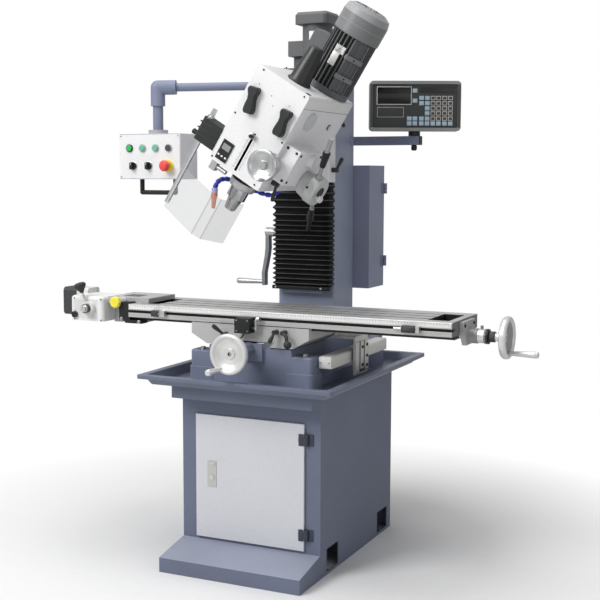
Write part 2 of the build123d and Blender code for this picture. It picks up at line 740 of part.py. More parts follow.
x_end_bracket.part.label = "x_end_bracket"
export_step(x_end_bracket.part, "parts/x_end_bracket.step")

# Long feed screw between the end bracket and the power feed, with the journal of the handwheel
X_DIAL = TABLE_RIGHT + 46 + FACE_GAP
X_TAIL = TABLE_LEFT - 70
x_dial_face = Plane((X_DIAL, TABLE_MID_Y, X_SCREW_Z), x_dir=(0, 1, 0), z_dir=(1, 0, 0))
with BuildPart() as x_screw:
    turn(
        x_dial_face,
        [
            (0, X_TAIL - X_DIAL),
            (X_SCREW_R, X_TAIL - X_DIAL),
            (X_SCREW_R, 0),
            (JOURNAL_R, 0),
            (JOURNAL_R, 40),
            (0, 40),
        ],
    )
x_screw.part.label = "x_screw"
export_step(x_screw.part, "parts/x_screw.step")

# Handwheel of the long feed with its clamping ring, dial and clutch
with BuildPart() as x_handwheel:
    turn(
        x_dial_face,
        [
            (0, 40),
            (JOURNAL_R, 40),
            (JOURNAL_R, 0),
            (23, 0),
            (23, 22),
            (25, 23),
            (25, 36),
            (17, 38),
            (17, 57),
            (13, 58),
            (13, 66),
            (JOURNAL_R, 66),
            (JOURNAL_R, 86),
            (0, 86),
        ],
    )
    disc(Plane((X_DIAL + 11, TABLE_MID_Y, X_SCREW_Z + 18)), 5, 17)
    turn(x_dial_face.offset(66), wheel_profile())
    x_grip = (X_DIAL + 104, TABLE_MID_Y + 10, X_SCREW_Z - 52)
    turn(Plane(x_grip, x_dir=(0, 1, 0), z_dir=(1, 0, 0)), grip_profile(93))
x_handwheel.part.label = "x_handwheel"
export_step(x_handwheel.part, "parts/x_handwheel.step")

# Power feed: gearbox under a flat cover on the table end, control housing in front, motor behind it
FEED_FRONT = TABLE_FRONT + 18
FEED_BACK = FEED_FRONT + 150
FEED_LEFT = TABLE_LEFT - 270
FEED_RIGHT = TABLE_LEFT - 123
FEED_LOW = X_SCREW_Z - 18
FEED_HIGH = TABLE_TOP + 18
COVER_SIDE = 92
COVER_OVER = 56
PLATE_FRONT = TABLE_FRONT + 8
GEAR_FRONT = TABLE_MID_Y - 46
MOTOR_MID = (TABLE_MID_Y + 2, X_SCREW_Z + 41)
FEED_X = TABLE_LEFT - 182
FEED_Z = X_SCREW_Z + 31
RAPID = (TABLE_LEFT - 54, TABLE_TOP + 4)
RAPID_R = 8
DIAL_PIN_R = 6
with BuildPart() as power_feed:
    slab(Plane.XY.offset(FEED_LOW), (FEED_LEFT, FEED_RIGHT), (FEED_FRONT, FEED_BACK), FEED_HIGH - FEED_LOW)
    fillet(power_feed.edges().filter_by(Axis.Z), 16)
    fillet(power_feed.edges().group_by(Axis.Z)[-1], 12)
    with BuildSketch(Plane.YZ.offset(FEED_LEFT - 32)):
        with Locations(MOTOR_MID):
            RectangleRounded(76, 104, 12)
    extrude(amount=51)
    with BuildSketch(Plane.YZ.offset(FEED_LEFT - 93)):
        with Locations(MOTOR_MID):
            RectangleRounded(80, 106, 16)
    extrude(amount=61)
    gear_back = TABLE_MID_Y + COVER_SIDE
    slab(Plane.XY.offset(X_SCREW_Z - 25), (FEED_RIGHT - 4, TABLE_LEFT), (GEAR_FRONT, gear_back), 80)
    cover_sides = (TABLE_MID_Y - COVER_SIDE, gear_back)
    slab(Plane.XY.offset(TABLE_TOP - 7), (FEED_RIGHT - 4, TABLE_LEFT), cover_sides, 24)
    slab(Plane.XY.offset(TABLE_TOP), (TABLE_LEFT - 1, TABLE_LEFT + COVER_OVER), cover_sides, 17)
    disc(Plane.YZ.offset(X_TAIL - 8), X_SCREW_R + RUN_GAP, 90, (TABLE_MID_Y, X_SCREW_Z), Mode.SUBTRACT)
    slab(Plane.XY.offset(X_SCREW_Z - 8), (TABLE_LEFT - 46, TABLE_LEFT), (PLATE_FRONT, GEAR_FRONT + 1), 69)
    slab(Plane.XY.offset(JAW_Z - 12), (TABLE_LEFT - 21, TABLE_LEFT + 50), (PLATE_FRONT, PLATE_FRONT + 40), 12)
    disc(Plane.XZ.offset(-cover_sides[0] - 1), RAPID_R + 7, cover_sides[0] + 1 - PLATE_FRONT, RAPID)
    disc(Plane.XZ.offset(-FEED_FRONT), 12, 9, (FEED_LEFT + 23, X_SCREW_Z + 4))
    disc(Plane.XZ.offset(-FEED_FRONT), DIAL_PIN_R, 36, (FEED_X, FEED_Z))
    disc(Plane.XZ.offset(-PLATE_FRONT - 16), RAPID_R + RUN_GAP, 20, RAPID, Mode.SUBTRACT)
power_feed.part.label = "power_feed"
export_step(power_feed.part, "parts/power_feed.step")

# Direction lever of the power feed, turning around its speed dial
LEVER_TOP = Vector(FEED_X - 25, FEED_FRONT - 14, FEED_Z + 62)
with BuildPart() as feed_lever:
    disc(Plane.XZ.offset(-FEED_FRONT + FACE_GAP), 25, 18, (FEED_X, FEED_Z))
    lever_arm((FEED_X - 4, FEED_FRONT - 12, FEED_Z + 12), LEVER_TOP, 4, 4)
    turn(
        Plane(LEVER_TOP, z_dir=(-25, 0, 62)),
        [(0, -6), (6, -6), (9, 0), (20, 14), (23, 20), (23, 24), (20, 29), (13, 32), (0, 33)],
    )
    disc(Plane.XZ.offset(-FEED_FRONT), DIAL_PIN_R + RUN_GAP, 30, (FEED_X, FEED_Z), Mode.SUBTRACT)
feed_lever.part.label = "feed_lever"
export_step(feed_lever.part, "parts/feed_lever.step")

DIAL_BORE_R = DIAL_PIN_R + RUN_GAP
with BuildPart() as feed_dial:
    turn(
        Plane((FEED_X, FEED_FRONT, FEED_Z), x_dir=(1, 0, 0), z_dir=(0, -1, 0)),
        [(0, 37), (DIAL_BORE_R, 37), (DIAL_BORE_R, 19), (17, 19), (17, 33), (11, 35), (11, 46), (0, 46)],
    )
    slab(Plane.XZ.offset(-FEED_FRONT + 44), (FEED_X - 1, FEED_X + 1), (FEED_Z, FEED_Z + 12), 2, Mode.SUBTRACT)
feed_dial.part.label = "feed_dial"
export_step(feed_dial.part, "parts/feed_dial.step")

with BuildPart() as rapid_button:
    rapid_face = Plane((RAPID[0], PLATE_FRONT, RAPID[1]), x_dir=(1, 0, 0), z_dir=(0, -1, 0))
    disc(rapid_face.offset(-8), RAPID_R, 15)
    with BuildSketch(rapid_face.offset(6)):
        RegularPolygon(20, 8, major_radius=False)
    extrude(amount=14)
    chamfer(rapid_button.faces().sort_by(Axis.Y)[0].edges(), 4)
rapid_button.part.label = "rapid_button"
export_step(rapid_button.part, "parts/rapid_button.step")


def z_way(gap, back):
    """Cross section of the column dovetail."""
    lean = (Z_WAY_FRONT_W - Z_WAY_NECK_W) / 2 / (COLUMN_FRONT - Z_WAY_FRONT)
    front = Z_WAY_FRONT_W / 2 + gap * 2
    neck = front - lean * (back - Z_WAY_FRONT + gap)
    return [(-front, Z_WAY_FRONT - gap), (front, Z_WAY_FRONT - gap), (neck, back), (-neck, back)]


# Column with its dovetail, screw channel, crank bore and the welded arm of the readout
COLUMN_Z = Y_WAY_TOP
CHANNEL_Z = CRANK_Z - 74
CHANNEL_BACK = Z_SCREW_Y + 40
with BuildPart() as column:
    slab(Plane.XY.offset(COLUMN_Z), (-COLUMN_X, COLUMN_X), (COLUMN_FRONT, COLUMN_BACK), COLUMN_TOP - COLUMN_Z)
    fillet(column.edges().filter_by(Axis.Z), 10)
    slab(Plane.XY.offset(COLUMN_Z), (-138, 138), (COLUMN_FRONT - 10, COLUMN_BACK), 34)
    outline(Plane.XY.offset(Z_WAY_BOTTOM), z_way(0, COLUMN_FRONT + 12), COLUMN_TOP - Z_WAY_BOTTOM)
    slab(
        Plane.XY.offset(CHANNEL_Z),
        (-Z_CHANNEL_W / 2, Z_CHANNEL_W / 2),
        (Z_WAY_FRONT, CHANNEL_BACK),
        COLUMN_TOP - CHANNEL_Z,
        Mode.SUBTRACT,
    )
    disc(Plane((0, Z_SCREW_Y, CHANNEL_Z)), 10 + RUN_GAP, -34, mode=Mode.SUBTRACT)
    disc(Plane.YZ.offset(-COLUMN_X), CRANK_SHAFT_R + RUN_GAP, COLUMN_X, (Z_SCREW_Y, CRANK_Z), Mode.SUBTRACT)
    disc(Plane.YZ.offset(-COLUMN_X), 26, -10, (Z_SCREW_Y, CRANK_Z))
    disc(Plane.YZ.offset(-COLUMN_X), CRANK_SHAFT_R + RUN_GAP, -10, (Z_SCREW_Y, CRANK_Z), Mode.SUBTRACT)
    slab(Plane.YZ.offset(COLUMN_X), (DRO_Y - 30, DRO_Y - 2), (DRO_Z - 51, DRO_Z - 18), 8)
    slab(Plane.YZ.offset(COLUMN_X), (DRO_Y - 15, DRO_Y + 15), (DRO_Z - 51, DRO_Z - 18), DRO_X + 27 - COLUMN_X)
    disc(Plane((DRO_X, DRO_Y, DRO_Z - 18)), 8, 22)
    turn(Plane((DRO_X, DRO_Y, DRO_Z - 51)), [(0, 0), (9, 0), (11, -4), (11, -16), (7, -21), (0, -21)])
column.part.label = "column"
export_step(column.part, "parts/column.step")

# Bellows over the ways: open folds above, folds lying close together below
OPEN_FOLDS = 5
CLOSE_FOLDS = 14
OPEN_PITCH = 27
BELLOWS_TOP = CARRIAGE_Z - FACE_GAP
CLOSE_PITCH = (BELLOWS_TOP - BELLOWS_BOTTOM - OPEN_FOLDS * OPEN_PITCH) / CLOSE_FOLDS
fold_levels = [(BELLOWS_BOTTOM, 0)]
for number in range(CLOSE_FOLDS):
    start = BELLOWS_BOTTOM + number * CLOSE_PITCH
    fold_levels.append((start + CLOSE_PITCH / 2, 1))
    fold_levels.append((start + CLOSE_PITCH, 0))
for number in range(OPEN_FOLDS):
    start = BELLOWS_TOP - (OPEN_FOLDS - number) * OPEN_PITCH
    fold_levels.append((start + OPEN_PITCH / 2, 1))
    fold_levels.append((start + OPEN_PITCH, 0))
with BuildPart() as bellows:
    for level, crest in fold_levels:
        side = BELLOWS_W / 2 - BELLOWS_FOLD * (1 - crest)
        front = BELLOWS_FRONT + BELLOWS_FOLD * (1 - crest)
        with BuildSketch(Plane.XY.offset(level)):
            with BuildLine():
                Polyline(
                    (-side, COLUMN_FRONT),
                    (-side, front),
                    (side, front),
                    (side, COLUMN_FRONT),
                    (Z_WAY_FRONT_W / 2 + 5, COLUMN_FRONT),
                    (Z_WAY_FRONT_W / 2 + 5, Z_WAY_FRONT - 4),
                    (-Z_WAY_FRONT_W / 2 - 5, Z_WAY_FRONT - 4),
                    (-Z_WAY_FRONT_W / 2 - 5, COLUMN_FRONT),
                    close=True,
                )
            make_face()
    loft(ruled=True)
bellows.part.label = "bellows"
export_step(bellows.part, "parts/bellows.step")

# Lift screw with its bevel gear
with BuildPart() as z_screw:
    turn(
        Plane((0, Z_SCREW_Y, 0)),
        [
            (0, CHANNEL_Z - 30),
            (10, CHANNEL_Z - 30),
            (10, CRANK_Z - 46),
            (22, CRANK_Z - 46),
            (29.5, CRANK_Z - 30),
            (15, CRANK_Z - 15.5),
            (11, CRANK_Z - 15.5),
            (11, CRANK_Z + 24),
            (Z_SCREW_R, CRANK_Z + 30),
            (Z_SCREW_R, COLUMN_TOP - 20),
            (10, COLUMN_TOP - 20),
            (10, COLUMN_TOP + 8),
            (0, COLUMN_TOP + 8),
        ],
    )
z_screw.part.label = "z_screw"
export_step(z_screw.part, "parts/z_screw.step")

# Hand crank of the lift with its shaft, bevel gear, bent arm and handle
CRANK_X = -COLUMN_X - 10 - FACE_GAP
ARM_X = -182
ARM_HALF = 13
with BuildPart() as z_crank:
    turn(
        Plane((0, Z_SCREW_Y, CRANK_Z), x_dir=(0, 1, 0), z_dir=(-1, 0, 0)),
        [(0, 15.5), (15, 15.5), (29.5, 30), (29.5, 31), (CRANK_SHAFT_R, 31), (CRANK_SHAFT_R, 175), (0, 175)],
    )
    disc(Plane.YZ.offset(CRANK_X), 18, ARM_X + 2 - CRANK_X, (Z_SCREW_Y, CRANK_Z))
    outline(
        Plane.XZ.offset(ARM_HALF - Z_SCREW_Y),
        [
            (ARM_X + 16, CRANK_Z + 15),
            (ARM_X + 3, CRANK_Z + 15),
            (ARM_X + 2, CRANK_Z - 60),
            (ARM_X - 1, CRANK_Z - 90),
            (ARM_X - 14, CRANK_Z - 160),
            (ARM_X - 12, CRANK_Z - CRANK_DROP - 13),
            (ARM_X, CRANK_Z - CRANK_DROP - 13),
            (ARM_X, CRANK_Z - 158),
            (ARM_X + 14, CRANK_Z - 90),
            (ARM_X + 18, CRANK_Z - 60),
        ],
        -2 * ARM_HALF,
    )
    turn(
        Plane((ARM_X - 8, Z_SCREW_Y, CRANK_Z - CRANK_DROP), x_dir=(0, 1, 0), z_dir=(-1, 0, 0)),
        grip_profile(119),
    )
z_crank.part.label = "z_crank"
export_step(z_crank.part, "parts/z_crank.step")

# Head carriage on the column with the lift nut and the swivel face
with BuildPart() as carriage:
    slab(
        Plane.XY.offset(CARRIAGE_Z),
        (-CARRIAGE_W / 2, CARRIAGE_W / 2),
        (CARRIAGE_FRONT, COLUMN_FRONT - 1),
        CARRIAGE_H,
    )
    fillet(carriage.edges().filter_by(Axis.Z).group_by(Axis.Y)[0], 8)
    outline(Plane.XY.offset(CARRIAGE_Z), z_way(SLIDE_GAP, COLUMN_FRONT), CARRIAGE_H, Mode.SUBTRACT)
    slab(Plane.XY.offset(PIVOT_Z - 64), (-28, 28), (Z_WAY_FRONT - 2, Z_SCREW_Y + 26), 60)
    disc(Plane((0, Z_SCREW_Y, PIVOT_Z - 70)), Z_SCREW_R + RUN_GAP, 80, mode=Mode.SUBTRACT)
    disc(Plane.XZ.offset(-CARRIAGE_FRONT), 106, CARRIAGE_FRONT - HEAD_BACK - FACE_GAP, (0, PIVOT_Z))
    disc(Plane.XZ.offset(-CARRIAGE_FRONT), 40, CARRIAGE_FRONT - HEAD_BACK + 18, (0, PIVOT_Z))
carriage.part.label = "carriage"
export_step(carriage.part, "parts/carriage.step")

# Clamp levers of the carriage
LOCK_SIDE = CARRIAGE_W / 2 + FACE_GAP
with BuildPart() as z_lock_lower:
    disc(Plane.YZ.offset(LOCK_SIDE), 9, 24, (92, PIVOT_Z - 102))
    lever_arm((LOCK_SIDE + 16, 92, PIVOT_Z - 102), (LOCK_SIDE + 44, 84, PIVOT_Z - 58), 8, 5)
z_lock_lower.part.label = "z_lock_lower"
export_step(z_lock_lower.part, "parts/z_lock_lower.step")

with BuildPart() as z_lock_upper:
    disc(Plane.YZ.offset(LOCK_SIDE), 9, 24, (92, PIVOT_Z + 100))
    lever_arm((LOCK_SIDE + 16, 92, PIVOT_Z + 100), (LOCK_SIDE + 50, 84, PIVOT_Z + 56), 8, 5)
z_lock_upper.part.label = "z_lock_upper"
export_step(z_lock_upper.part, "parts/z_lock_upper.step")

# Lift motor on the column top with its terminal box and fan cap
MOTOR_Y = 220
FAN_CAP = 138
with BuildPart() as z_lift_motor:
    slab(Plane.XY.offset(COLUMN_TOP), (-100, 100), (Z_WAY_FRONT + 6, COLUMN_BACK - 4), 12)
    disc(Plane((0, Z_SCREW_Y, COLUMN_TOP)), 10 + RUN_GAP, 12, mode=Mode.SUBTRACT)
    turn(
        Plane((1, MOTOR_Y, COLUMN_TOP + 12)),
        [(0, 0), (72, 0), (72, 20), (57, 30), (57, 170), (0, 170)],
    )
    with BuildSketch(Plane((1, MOTOR_Y, COLUMN_TOP + 180))):
        RectangleRounded(FAN_CAP, FAN_CAP, 22)
    extrude(amount=33)
    with BuildSketch(Plane((1, MOTOR_Y, COLUMN_TOP + 213))):
        RectangleRounded(FAN_CAP, FAN_CAP, 22)
    extrude(amount=11, taper=40)
    slab(Plane.XY.offset(COLUMN_TOP + 64), (-105, -40), (MOTOR_Y - 38, MOTOR_Y + 38), 57)
    slab(Plane.XY.offset(COLUMN_TOP + 12), (-91, -60), (MOTOR_Y - 16, MOTOR_Y + 16), 53)
z_lift_motor.part.label = "z_lift_motor"
export_step(z_lift_motor.part, "parts/z_lift_motor.step")

# Electrical cabinet on the back of the column, open to the back
CABINET_BACK = COLUMN_BACK + CABINET_D
CABINET_X = CABINET_W / 2
CAB_HINGE_X = CABINET_X + HINGE_R
CAB_HINGE_Y = CABINET_BACK + 1
CAB_HINGES = (CABINET_Z + 79, CABINET_Z + 366)
with BuildPart() as electrical_cabinet:
    slab(Plane.XY.offset(CABINET_Z), (-CABINET_X, CABINET_X), (COLUMN_BACK, CABINET_BACK), CABINET_H)
    slab(
        Plane.XY.offset(CABINET_Z + CABINET_SHEET),
        (-CABINET_X + CABINET_SHEET, CABINET_X - CABINET_SHEET),
        (COLUMN_BACK + CABINET_SHEET, CABINET_BACK),
        CABINET_H - 2 * CABINET_SHEET,
        Mode.SUBTRACT,
    )
    for level in CAB_HINGES:
        hinge_fixed(CAB_HINGE_X, CAB_HINGE_Y, level)
        leaf = (CAB_HINGE_Y - 26, CAB_HINGE_Y)
        slab(Plane.YZ.offset(CABINET_X), leaf, (level, level + 12), 3)
        slab(Plane.YZ.offset(CABINET_X), leaf, (level + HINGE_H - 12, level + HINGE_H), 3)
        slab(Plane.YZ.offset(CABINET_X), (CAB_HINGE_Y - 26, CAB_HINGE_Y - 10), (level, level + HINGE_H), 3)
electrical_cabinet.part.label = "electrical_cabinet"
export_step(electrical_cabinet.part, "parts/electrical_cabinet.step")

with BuildPart() as cabinet_door:
    slab(
        Plane.XZ.offset(-CABINET_BACK - 1),
        (-CABINET_X, CABINET_X - 1),
        (CABINET_Z, CABINET_Z + CABINET_H),
        -CABINET_DOOR_T,
    )
    for level in CAB_HINGES:
        slab(
            Plane.XZ.offset(-CABINET_BACK - 1 - CABINET_DOOR_T),
            (CABINET_X - 24, CAB_HINGE_X),
            (level + 12.4, level + HINGE_H - 12.4),
            2.5,
        )
        disc(Plane((CAB_HINGE_X, CAB_HINGE_Y, level + 12.4)), HINGE_R, HINGE_H - 24.8)
        hinge_bore(CAB_HINGE_X, CAB_HINGE_Y, level)
cabinet_door.part.label = "cabinet_door"
export_step(cabinet_door.part, "parts/cabinet_door.step")

# Arm of the control box: flange on the column, tube, elbow and post
ARM_START = Vector(-COLUMN_X - 7, 220, ARM_Z)
ARM_END = Vector(BOX_X, BOX_Y, ARM_Z - 8)
SLEEVE_R = 28
ARM_RUN = (ARM_END - ARM_START).normalized()
with BuildPart() as control_arm:
    disc(Plane.YZ.offset(-COLUMN_X), 36, -12, (220, ARM_Z))
    disc(Plane(origin=ARM_START, z_dir=ARM_RUN), ARM_R, (ARM_END - ARM_START).length)
    disc(Plane(origin=ARM_END, z_dir=-ARM_RUN), SLEEVE_R, 72)
    ball(ARM_END, SLEEVE_R)
    disc(Plane(ARM_END), SLEEVE_R, -71)
    disc(Plane((BOX_X, BOX_Y, BOX_TOP + 1)), POST_R, ARM_Z - BOX_TOP)
control_arm.part.label = "control_arm"
export_step(control_arm.part, "parts/control_arm.step")

# Control box with swivel collar, switch bezels and hand rail
BUTTON_Z = BOX_Z + 119
BUTTON_XS = (BOX_X - 89, BOX_X - 30, BOX_X + 29, BOX_X + 87)
SELECT_Z = BOX_Z + 51
SELECT_XS = (BOX_X - 74, BOX_X - 4)
STOP_X = BOX_X + 85
with BuildPart() as control_box:
    slab(
        Plane.XY.offset(BOX_Z),
        (BOX_X - BOX_W / 2, BOX_X + BOX_W / 2),
        (BOX_FRONT, BOX_FRONT + BOX_D),
        BOX_H,
    )
    fillet(control_box.edges().filter_by(Axis.Z), 6)
    disc(Plane((BOX_X, BOX_Y, BOX_TOP)), 38, 16)
    disc(Plane((BOX_X, BOX_Y, BOX_TOP + 0.5)), POST_R + RUN_GAP, 20, mode=Mode.SUBTRACT)
    for x in BUTTON_XS:
        disc(Plane.XZ.offset(-BOX_FRONT), 15, 5, (x, BUTTON_Z))
        disc(Plane.XZ.offset(-BOX_FRONT - 16), BUTTON_R + RUN_GAP, 30, (x, BUTTON_Z), Mode.SUBTRACT)
    for x in SELECT_XS:
        disc(Plane.XZ.offset(-BOX_FRONT - 12), 5 + RUN_GAP, 14, (x, SELECT_Z), Mode.SUBTRACT)
    disc(Plane.XZ.offset(-BOX_FRONT), 22, 14, (STOP_X, SELECT_Z))
    disc(Plane.XZ.offset(-BOX_FRONT - 20), 12 + RUN_GAP, 40, (STOP_X, SELECT_Z), Mode.SUBTRACT)
    for x in (BOX_X - 76, BOX_X + 76):
        disc(Plane((x, BOX_Y, BOX_Z)), 9, -52)
        ball((x, BOX_Y, BOX_Z - 52), 9)
    disc(Plane.YZ.offset(BOX_X - 76), 9, 152, (BOX_Y, BOX_Z - 52))
control_box.part.label = "control_box"
export_step(control_box.part, "parts/control_box.step")

# Push buttons of the control box
for x, name in zip(BUTTON_XS, ("start_button", "forward_button", "reverse_button", "stop_button")):
    with BuildPart() as button:
        disc(Plane.XZ.offset(-BOX_FRONT + 9), BUTTON_R, -19, (x, BUTTON_Z))
        chamfer(button.edges().group_by(Axis.Y)[0], 2)
    button.part.label = name
    export_step(button.part, f"parts/{name}.step")

# Selector switches with a raised grip
for x, name in zip(SELECT_XS, ("selector_left", "selector_right")):
    with BuildPart() as selector:
        disc(Plane.XZ.offset(-BOX_FRONT - 10), 5, 12, (x, SELECT_Z))
        disc(Plane.XZ.offset(-BOX_FRONT + FACE_GAP), 14, 7, (x, SELECT_Z))
        slab(Plane.XZ.offset(-BOX_FRONT + 7), (x - 5, x + 5), (SELECT_Z - 13, SELECT_Z + 13), 14)
    selector.part.label = name
    export_step(selector.part, f"parts/{name}.step")

# Emergency stop mushroom
with BuildPart() as emergency_stop:
    turn(
        Plane((STOP_X, BOX_FRONT, SELECT_Z), x_dir=(1, 0, 0), z_dir=(0, -1, 0)),
        [(0, -12), (12, -12), (12, 22), (20, 24), (21, 34), (15, 42), (0, 44)],
    )
emergency_stop.part.label = "emergency_stop"
export_step(emergency_stop.part, "parts/emergency_stop.step")

# Digital readout turned towards the operator
TURN_X = (math.cos(math.radians(DRO_TURN)), math.sin(math.radians(DRO_TURN)), 0)
with BuildPart() as dro_unit:
    dro_face = Plane((DRO_X, DRO_Y, DRO_Z), x_dir=TURN_X, z_dir=(TURN_X[1], -TURN_X[0], 0)).offset(-DRO_D / 2)
    with BuildSketch(dro_face):
        with Locations((0, DRO_H / 2)):
            RectangleRounded(DRO_W, DRO_H, 14)
    extrude(amount=DRO_D)
    with BuildSketch(dro_face.offset(DRO_D)):
        with Locations((0, DRO_H / 2)):
            RectangleRounded(DRO_W - 24, DRO_H - 24, 6)
    extrude(amount=-4, mode=Mode.SUBTRACT)
    disc(Plane((DRO_X, DRO_Y, DRO_Z - 17)), 22, 18)
    disc(Plane((DRO_X, DRO_Y, DRO_Z - 18)), 8 + RUN_GAP, 23, mode=Mode.SUBTRACT)
dro_unit.part.label = "dro_unit"
export_step(dro_unit.part, "parts/dro_unit.step")

# Gear housing of the head with feed box, quill bore and shaft bores
FEED_BOX = 61
RING_H = 13
LEVER_PIVOTS = ((-58, 84), (78, 78))
LEVER_LEANS = (14, 6)
QUILL_LOCK = (-250, -100)
with BuildPart() as head_housing:
    slab(head_level(HEAD_BOTTOM), (-HEAD_X, HEAD_X), (HEAD_FRONT, HEAD_BACK), HEAD_H)
    slab(head_side(HEAD_X), (-300, -110), (-77, 53), FEED_BOX)
    disc(head_side(HEAD_X), 33, 8, (-223, 141))
    slab(head_level(HEAD_BOTTOM), (-100, -76), (HEAD_FRONT, HEAD_FRONT + 26), -34)
    disc(head_side(-77), 8, 42, (HEAD_FRONT + 13, HEAD_BOTTOM - 18))
    disc(head_side(HEAD_X), 11, 5, (-46, 128))
    disc(head_level(HEAD_BOTTOM), 60, -RING_H, (0, SPINDLE_Y))
    disc(
        head_level(HEAD_BOTTOM - RING_H),
        QUILL_R + RUN_GAP,
        230,
        (0, SPINDLE_Y),
        Mode.SUBTRACT,
    )
    disc(head_level(0), 20, HEAD_TOP, (0, SPINDLE_Y), Mode.SUBTRACT)
    disc(head_side(-25), HUB_SHAFT_R + RUN_GAP, 200, (HUB_Y, HUB_W), Mode.SUBTRACT)
    disc(head_side(-20), 18, 40, (HUB_Y, HUB_W), Mode.SUBTRACT)
    disc(head_front(-200), 9 + RUN_GAP, 115, (FINE_H, FINE_W), Mode.SUBTRACT)
    for pivot in LEVER_PIVOTS:
        disc(head_front(-275), 9 + RUN_GAP, 40, pivot, Mode.SUBTRACT)
    slab(head_front(SPINDLE_Y), (-4.5, 4.5), (-124, 22), SPINDLE_Y - HEAD_FRONT, Mode.SUBTRACT)
    disc(head_front(HEAD_BACK), 40 + RUN_GAP, 20, mode=Mode.SUBTRACT)
    disc(head_side(HEAD_X - 20), 5 + RUN_GAP, 24, QUILL_LOCK, Mode.SUBTRACT)
head_housing.part.label = "head_housing"
export_step(head_housing.part, "parts/head_housing.step")

# Top cover of the gear housing
with BuildPart() as head_top_cover:
    slab(head_level(HEAD_TOP), (-HEAD_X, HEAD_X), (HEAD_FRONT, HEAD_BACK), COVER_H)
    fillet(head_top_cover.edges().filter_by(Axis.Y).group_by(Axis(head_point(0, 0, 0), UP))[-1], 10)
    disc(head_level(HEAD_TOP), 20, COVER_H, (0, SPINDLE_Y), Mode.SUBTRACT)
head_top_cover.part.label = "head_top_cover"
export_step(head_top_cover.part, "parts/head_top_cover.step")

# Front panel with the depth slot, the notch for the fine feed and the lever holes
with BuildPart() as front_panel:
    with BuildSketch(head_front(HEAD_FRONT)):
        with Locations((0, (HEAD_BOTTOM + COVER_TOP) / 2)):
            RectangleRounded(HEAD_W - 2, COVER_TOP - HEAD_BOTTOM, 8)
    extrude(amount=PANEL_T)
    slab(head_front(HEAD_FRONT), (-4.5, 4.5), (-124, 22), PANEL_T, Mode.SUBTRACT)
    disc(head_front(HEAD_FRONT), 42, PANEL_T, (FINE_H, FINE_W), Mode.SUBTRACT)
    for pivot in LEVER_PIVOTS:
        disc(head_front(HEAD_FRONT), 9 + RUN_GAP, PANEL_T, pivot, Mode.SUBTRACT)
    slab(head_front(PANEL_FRONT), (-91, -45), (-125, -52), 4)
front_panel.part.label = "front_panel"
export_step(front_panel.part, "parts/front_panel.step")

# Main motor with flange, cooling ribs, fan cover and terminal box
MOTOR_H = 35
MOTOR_BACK = -45
with BuildPart() as spindle_motor:
    disc(head_level(COVER_TOP), 82, 24, (MOTOR_H, MOTOR_BACK))
    with BuildSketch(head_level(COVER_TOP + 20, MOTOR_H, MOTOR_BACK)):
        Circle(73)
        with PolarLocations(76, 30):
            Rectangle(13, 4)
    extrude(amount=200)
    turn(
        head_level(COVER_TOP + 219, MOTOR_H, MOTOR_BACK),
        [(0, -2), (84, -2), (86, 2), (86, 70), (80, 92), (60, 103), (0, 105)],
    )
    slab(head_level(COVER_TOP + 84), (MOTOR_H - 130, MOTOR_H - 60), (MOTOR_BACK - 44, MOTOR_BACK + 36), 90)
spindle_motor.part.label = "spindle_motor"
export_step(spindle_motor.part, "parts/spindle_motor.step")

# Cap over the drawbar
with BuildPart() as drawbar_cover:
    turn(
        head_level(COVER_TOP, 0, SPINDLE_Y),
        [(0, 0), (40, 0), (40, 7), (28, 9), (28, 122), (24, 131), (14, 135), (0, 135)],
    )
    disc(head_level(COVER_TOP, 0, SPINDLE_Y), 20, 30, mode=Mode.SUBTRACT)
drawbar_cover.part.label = "drawbar_cover"
export_step(drawbar_cover.part, "parts/drawbar_cover.step")

# Speed levers with waisted grips
LEVER_HALF = [(13, -16), (18, -10), (19, 0), (17, 14), (13, 32), (14, 46), (20, 62), (20, 70), (15, 77)]


def lever_outline(lean):
    """Outline of a lever that leans to the left by an angle."""
    whole = LEVER_HALF + [(-across, along) for across, along in reversed(LEVER_HALF)]
    left = math.sin(math.radians(lean))
    up = math.cos(math.radians(lean))
    return [(across * up - along * left, across * left + along * up) for across, along in whole]


for pivot, lean, name in zip(LEVER_PIVOTS, LEVER_LEANS, ("speed_lever_left", "speed_lever_right")):
    with BuildPart() as speed_lever:
        disc(head_front(-278), 9, -PANEL_FRONT - 278 + 4, pivot)
        outline(head_front(PANEL_FRONT - FACE_GAP, *pivot), lever_outline(lean), 24)
        chamfer(speed_lever.faces().sort_by(Axis.Y)[0].edges(), 3)
    speed_lever.part.label = name
    export_step(speed_lever.part, f"parts/{name}.step")

# Quill with its lower collar and the depth pointer in the slot
with BuildPart() as quill:
    turn(
        head_level(0, 0, SPINDLE_Y),
        [
            (SPINDLE_R + RUN_GAP, HEAD_BOTTOM - 56),
            (46, HEAD_BOTTOM - 56),
            (49, HEAD_BOTTOM - 50),
            (49, HEAD_BOTTOM - RING_H - 2),
            (QUILL_R, HEAD_BOTTOM - RING_H - 2),
            (QUILL_R, 68),
            (SPINDLE_R + RUN_GAP, 68),
        ],
    )
    pointer_root = SPINDLE_Y - SPINDLE_R - 5
    slab(head_front(pointer_root), (-4, 4), (5, 17), pointer_root - PANEL_FRONT + 8)
    disc(head_front(PANEL_FRONT - 1), 9, 12, (0, 11))
quill.part.label = "quill"
export_step(quill.part, "parts/quill.step")

